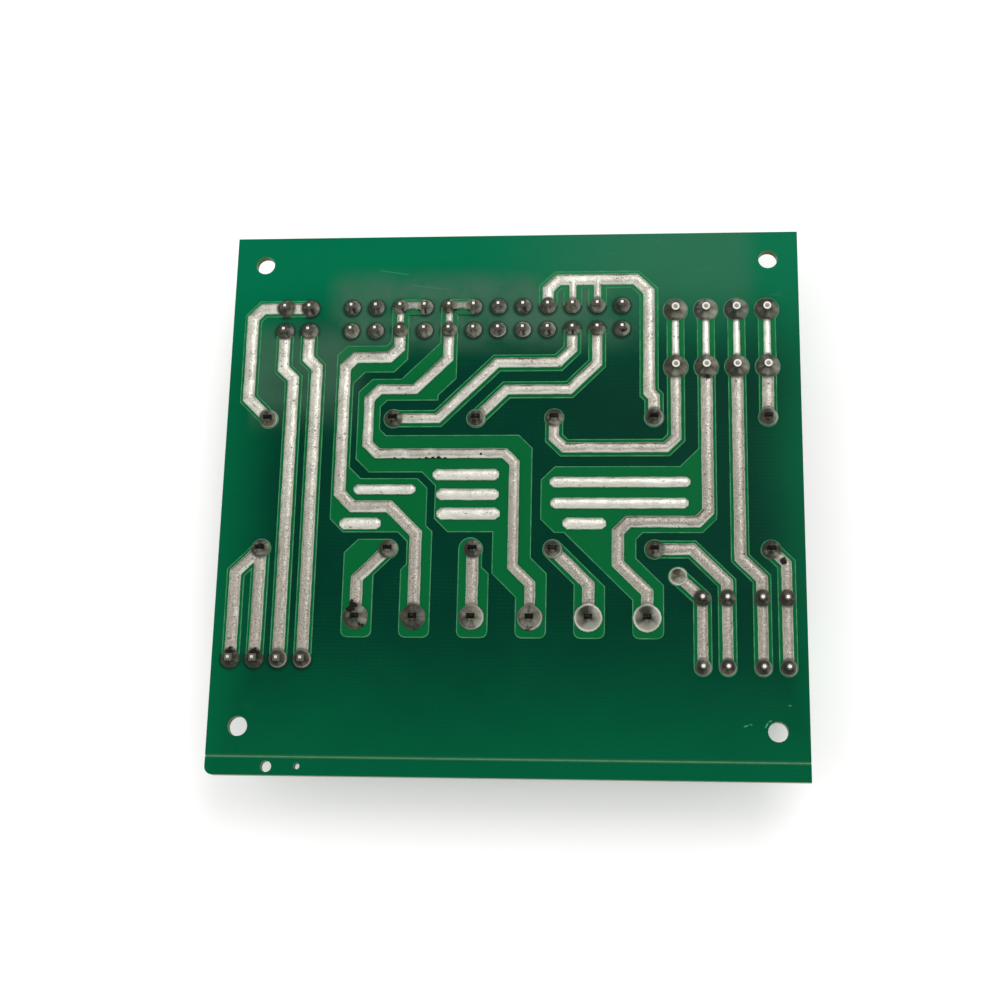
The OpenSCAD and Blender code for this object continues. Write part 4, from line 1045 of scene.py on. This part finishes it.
def seat_on_copper(mesh):
    """Cuts the skin's underside off flat and closes it on the copper."""
    bmesh.ops.bisect_plane(
        mesh,
        geom=mesh.verts[:] + mesh.edges[:] + mesh.faces[:],
        dist=1e-8,
        plane_co=(0, 0, SOLDER_BASE + POUR_TRIM),
        plane_no=(0, 0, 1),
        clear_inner=True,
    )
    edge = [vertex for vertex in mesh.verts if vertex.is_boundary]
    bmesh.ops.holes_fill(mesh, edges=[e for e in mesh.edges if e.is_boundary], sides=0)
    for vertex in edge:
        vertex.co.z = SOLDER_BASE


def roughen(mesh):
    """Ripples, grit and wandering edges of solder that set as it ran, and the bridges' arch."""
    noise.seed_set(WANDER_SEED)
    mesh.normal_update()
    for vertex in mesh.verts:
        place = vertex.co
        swing = noise.noise_vector(place / WANDER_SIZE) * WANDER
        if place.z > SOLDER_BASE + 0.02 * MM:
            ripple = noise.noise(place / RIPPLE_SIZE) * RIPPLE
            lift = ripple + noise.noise(place / GRIT_SIZE) * GRIT
            place += vertex.normal * (SWELL + lift)
        place.x += swing.x
        place.y += swing.y
        along, below = bridge_share(place)
        place.y += along * along * max(0, 1.5 * below + 0.2) * BRIDGE_ARCH


def lot_number(pour):
    """The lot that a separate pour belongs to, by where its middle lies across the board."""
    low, high = corners(pour)
    across = ((low[0] + high[0]) / 2 - BOARD_LOW.x) / MM
    return sum(across > end for end in LOT_ENDS)


def lots_of(mesh):
    """The skin shared out into one bmesh for each lot of pours."""
    mesh.verts.index_update()
    lots = [set() for _ in SOLDER_LOTS]
    for pour in islands(mesh):
        lots[lot_number(pour)].update(vertex.index for vertex in pour)
    for kept in lots:
        lot = mesh.copy()
        spare = [vertex for vertex in lot.verts if vertex.index not in kept]
        bmesh.ops.delete(lot, geom=spare, context="VERTS")
        yield lot
    mesh.free()


# ---- Poured solder: its marks ----


def bar_boxes():
    """Lowest and highest corner of each solder bar, widened by its swell."""
    mesh = packed_mesh("solder_bars")
    grown = Vector((BAR_MARGIN, BAR_MARGIN))
    boxes = []
    for piece in islands(mesh):
        low, high = corners(piece)
        boxes.append((Vector(low) - grown, Vector(high) + grown))
    mesh.free()
    return boxes


def cleanness(spot, bars):
    """How clean of tarnish the solder is at a place: some on the bars, most in the white patch."""
    white = within_box(spot, [on_board(*corner) for corner in WHITE_PATCH])
    return max(BAR_CLEAN * any(within_box(spot, bar) for bar in bars), white)


def pin_marks(rng):
    """Each joint's shift of tone, ways to its side of painted light and to its painted shade line,
    how lit its painted rim is, and its shade line's strength.
    """
    marks = []
    for middle, *_ in JOINTS:
        ringed = near_any(middle.xy, RINGED, RIM_LIT_REACH)
        rim_lit = 1.0 if ringed else 0.5 * near_any(middle.xy, RIM_LIT, RIM_LIT_REACH)
        plug = within("long_header_pins", middle) or within("small_header_pins", middle)
        shade_line = plug * max(0, rng.uniform(*SHADE_LINE_SPREAD))
        sooty = sum(dark for node, dark in SOOTY.items() if within(node, middle))
        shift = rng.uniform(*TONE_SPREAD) - sooty
        marks.append((shift, rng.uniform(*PALE_WAYS), rng.uniform(*SHADE_LINE_WAYS), rim_lit, shade_line))
    return marks


def joint_marks(spot, number, marks):
    """A place on its joint: how far joint, its painted rim highlight, its tone with painted light
    and shade, its painted shade line, and its turn for the streaks.
    """
    middle, foot, _, _ = JOINTS[number]
    shift, palest, shade_line_way, rim_lit, shade_line = marks[number]
    reach = spot.xy - middle.xy
    share = reach.length / foot
    angle = math.atan2(reach.y, reach.x)
    joint = min(1, max(0, (JOINT_END - share) / JOINT_FADE))
    # Painted light: paler on the side toward palest
    lit = math.cos(angle - palest)
    rim_highlight = math.exp(-(((share - RIM_AT) / RIM_SPREAD) ** 2)) * joint
    rim_highlight *= rim_lit * max(0.55 + 0.45 * lit, 2 * rim_lit - 1)
    tone_and_shading = JOINT_TONE + shift + TONE_SWING * lit * min(1, share)
    if rim_lit > 0.9:
        # Painted shade in a dark pool beside the pin, and a broken painted highlight on the rim
        pool = (reach - POOL_MIDDLE * foot).length / foot
        tone_and_shading += 0.9 * (pool - 0.55) + 0.25 * math.sin(3 * angle + number) * share
        rim_highlight *= 0.75 + 0.25 * math.sin(2 * angle + number)
    else:
        # Painted shade: darker to the edge, most on the shaded side
        shaded = 0.12 + 0.4 * max(0, math.cos(angle - SHADED_WAY))
        tone_and_shading -= shaded * min(1, max(0, share - 0.7) / 0.25)
    # Painted shade line of the pin's side
    off = math.remainder(angle - shade_line_way, math.tau) / (SHADE_LINE_TURN / (0.5 + share))
    gap = min(1, shade_line * math.exp(-off * off)) * (0.2 < share < 0.92) * joint
    turn = math.cos(angle) + number * 3, math.sin(angle), share * 0.3
    return joint, rim_highlight, tone_and_shading, gap, turn


def soot_at(spot, burns):
    """How much burnt flux lies at a place."""
    most = 0
    for middle, radius, black in burns:
        near = (spot.xy - middle).length / radius
        if near < 1:
            most = max(most, black * (1 - near * near))
    return most


def mark_solder(data, tree, marks, bars):
    """Writes SOLDER_MARKS and the turn of the streaks at each point of a lot."""
    burns = [(on_board(u, v), radius * MM, black) for u, v, radius, black in SOOT]
    values = np.zeros((len(SOLDER_MARKS), len(data.vertices)), np.float32)
    turns = np.zeros((len(data.vertices), 3), np.float32)
    for index, vertex in enumerate(data.vertices):
        spot = vertex.co
        number = nearest_joint(tree, spot)
        joint, rim_highlight, tone_and_shading, gap, turns[index] = joint_marks(spot, number, marks)
        soot = soot_at(spot, burns)
        along, below = bridge_share(spot)
        if along:
            joint = max(joint, BRIDGE_JOINT * along)
            tone_and_shading = max(tone_and_shading, BRIDGE_TONE)
            # Painted shadow with soot below the bridge's centre line
            soot = max(soot, along * min(BRIDGE_SOOT_SHADOW, 3 * below - 0.3))
        # How far the solder faces the beads' painted light
        side = vertex.normal.dot(PAINTED_LIGHT_SIDE)
        values[:, index] = joint, rim_highlight, soot, tone_and_shading, side, gap, cleanness(spot, bars)
    for name, row in zip(SOLDER_MARKS, values):
        data.attributes.new(name, "FLOAT", "POINT").data.foreach_set("value", row)
    turn = data.attributes.new("turn", "FLOAT_VECTOR", "POINT")
    turn.data.foreach_set("vector", turns.ravel())


def poured_solder():
    """The beads, bars and joints as one rough skin, in a left, a middle and a right lot."""
    tree = joint_tree()
    mesh = packed_mesh("solder_runs")
    draw_ends_in(mesh, tree)
    mesh.from_mesh(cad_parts["solder_bars"].data)
    bmesh.ops.remove_doubles(mesh, verts=mesh.verts, dist=1e-6)
    add_joints(mesh)
    mesh = remeshed(mesh, "pour")
    seat_on_copper(mesh)
    roughen(mesh)
    for face in mesh.faces:
        face.smooth = True
    marks = pin_marks(np.random.default_rng(SPREAD_SEED))
    bars = bar_boxes()
    for name, lot in zip(SOLDER_LOTS, lots_of(mesh)):
        made = finished(name, lot, "solder", SOLDER)
        mark_solder(made.data, tree, marks, bars)
        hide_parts("solder_runs", "solder_bars", "solder_joints")


# ---- Copper edges and flux stains ----


def flux_shadow_joints():
    """The header joints, whose pads are ringed by dark flux and painted shadow instead of a pale
    edge.
    """
    headers = ("long_header_pins", "small_header_pins", "row_header_pins")
    return [joint for joint in JOINTS if any(within(node, joint[0]) for node in headers)]


def edged_copper():
    """The tracks with a thin pale line along their edges, a painted highlight on the lacquer's
    bevel, dark with flux and painted shadow round header joints and below the bridges.
    """
    mesh = packed_mesh("copper_tracks")
    flatten(mesh)
    top = [face for face in mesh.faces if face.normal.z > 0.9]
    inset = bmesh.ops.inset_region(
        mesh, faces=top, thickness=RIM_WIDTH, use_boundary=True, use_even_offset=True
    )
    inner = {vertex for face in top for vertex in face.verts}
    ringed = flux_shadow_joints()
    for face in inset["faces"]:
        spot = face.calc_center_median().xy
        # Header pads and the copper below the bridges get the dark ring of flux and painted shadow,
        # the rest the pale painted highlight
        dark = any((spot - joint[0].xy).length < joint[1] + RING_REACH for joint in ringed)
        dark = dark or bridge_share(spot)[1] > 0
        face.material_index = 2 if dark else 1
        for vertex in face.verts:
            if vertex not in inner and vertex.co.z > SOLDER_BASE - 1e-6:
                vertex.co.z = SOLDER_BASE - RIM_DROP
    lacquers = COPPER_LACQUER, RIM_LACQUER, FLUX_SHADOW_RING
    made = finished("edged_copper", mesh, "lacquered_copper", *lacquers)
    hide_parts("copper_tracks")


def flux_stains_and_shadows():
    """A film of dark flux and painted shadow on the lacquer round each header joint, shifted to its
    shaded side, thinning to nothing.
    """
    mesh = bmesh.new()
    for middle, foot, *_ in flux_shadow_joints():
        # Shifted toward the shaded side, as a painted shadow
        place = middle.x - SHADOW_SHIFT, middle.y - SHADOW_SHIFT, BOARD_TOP + STAIN_SHADOW_DEPTH * 0.4
        bmesh.ops.create_cone(
            mesh,
            cap_ends=True,
            segments=40,
            radius1=foot + STAIN_SHADOW_REACH,
            radius2=foot,
            depth=STAIN_SHADOW_DEPTH,
            matrix=Matrix.Translation(place),
        )
    made = finished("flux_stains_and_shadows", mesh, "laminate", SHADOWED_STAINED_LACQUER)
    strength = [float(vertex.co.z > BOARD_TOP) for vertex in made.data.vertices]
    stain_and_shadow = made.data.attributes.new("stain_and_shadow", "FLOAT", "POINT")
    stain_and_shadow.data.foreach_set("value", strength)


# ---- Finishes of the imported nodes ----


def dress(material, *nodes):
    for node in nodes:
        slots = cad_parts[node].data.materials
        slots.clear()
        slots.append(material)


def dress_all():
    dress(BOARD_LACQUER, "circuit_board")
    dress(PLUG_PIN, "long_header_pins", "small_header_pins")
    dress(ROW_PIN, "row_header_pins")
    dress(NYLON, "long_header", "small_header", "row_header")
    dress(BLACK_PLASTIC, "barrier_strip")
    dress(CUT_SHEET, "barrier_contacts")
    dress(ZINC, "barrier_washers", "barrier_screws")
    terminals = ("four_pole", POLE_PIN), ("left_pair", CLAMP_PIN), ("right_pair", CLAMP_PIN)
    for group, pin in terminals:
        dress(GREEN_PLASTIC, group + "_terminal")
        dress(pin, group + "_contacts")
        dress(ZINC, group + "_screws")
    for number in HOLDERS:
        dress(HOLDER_PLASTIC, f"holder_{number}")
        dress(CUT_SHEET, f"clips_{number}")
        dress(NICKEL, f"caps_{number}")
        dress(GLASS, f"glass_{number}")
        dress(FUSE_WIRE, f"wire_{number}")


# ---- Floor, light and camera ----


def floor():
    """Pale paper that the board stands on."""
    mesh = bmesh.new()
    level = Matrix.Translation((0, 0, -FLOOR_DROP))
    bmesh.ops.create_grid(mesh, x_segments=1, y_segments=1, size=FLOOR_REACH, matrix=level)
    data = bpy.data.meshes.new("floor")
    mesh.to_mesh(data)
    mesh.free()

    def build(tree, shader):
        tree.feed(shader.inputs["Base Color"], FLOOR_PAPER)
        tree.feed(shader.inputs["Emission Color"], WHITE)
        tree.feed(shader.inputs["Emission Strength"], tree.times(tree.seen(), FLOOR_GLOW))

    paper = new_material("floor_paper", build, Roughness=0.9, Specular_IOR_Level=0.1)
    data.materials.append(paper)
    made = bpy.data.objects.new("floor", data)
    SCENE.collection.objects.link(made)


def studio_light():
    """An even white world, full where it is seen, and two soft lamps."""
    world = bpy.data.worlds.new("studio")
    world.use_nodes = True
    SCENE.world = world
    tree = Tree(world.node_tree)
    background = world.node_tree.nodes["Background"]
    background.inputs["Color"].default_value = WHITE
    tree.feed(background.inputs["Strength"], tree.times_plus(tree.seen(), 1 - FILL, FILL))
    for name, place, size, power in LAMPS:
        lamp = bpy.data.lights.new(name, "AREA")
        lamp.shape = "DISK"
        lamp.size = size
        lamp.energy = power
        made = bpy.data.objects.new(name, lamp)
        made.location = place
        made.rotation_euler = (-Vector(place)).to_track_quat("-Z", "Y").to_euler()
        SCENE.collection.objects.link(made)


def camera():
    data = bpy.data.cameras.new("camera")
    data.sensor_width = CAMERA_SENSOR
    data.lens = CAMERA_LENS
    data.clip_start = 0.01
    data.clip_end = 20
    made = bpy.data.objects.new("camera", data)
    forward = (CAMERA_AIM - CAMERA_PLACE).normalized()
    level = forward.cross(Vector((0, 1, 0))).normalized()
    side = Matrix.Rotation(-CAMERA_ROLL, 3, forward) @ level
    up = side.cross(forward)
    basis = Matrix((side, up, -forward)).transposed()
    made.matrix_world = Matrix.Translation(CAMERA_PLACE) @ basis.to_4x4()
    SCENE.collection.objects.link(made)
    SCENE.camera = made


SCENE.view_settings.view_transform = "Standard"
dress_all()
poured_solder()
edged_copper()
flux_stains_and_shadows()
floor()
studio_light()
camera()
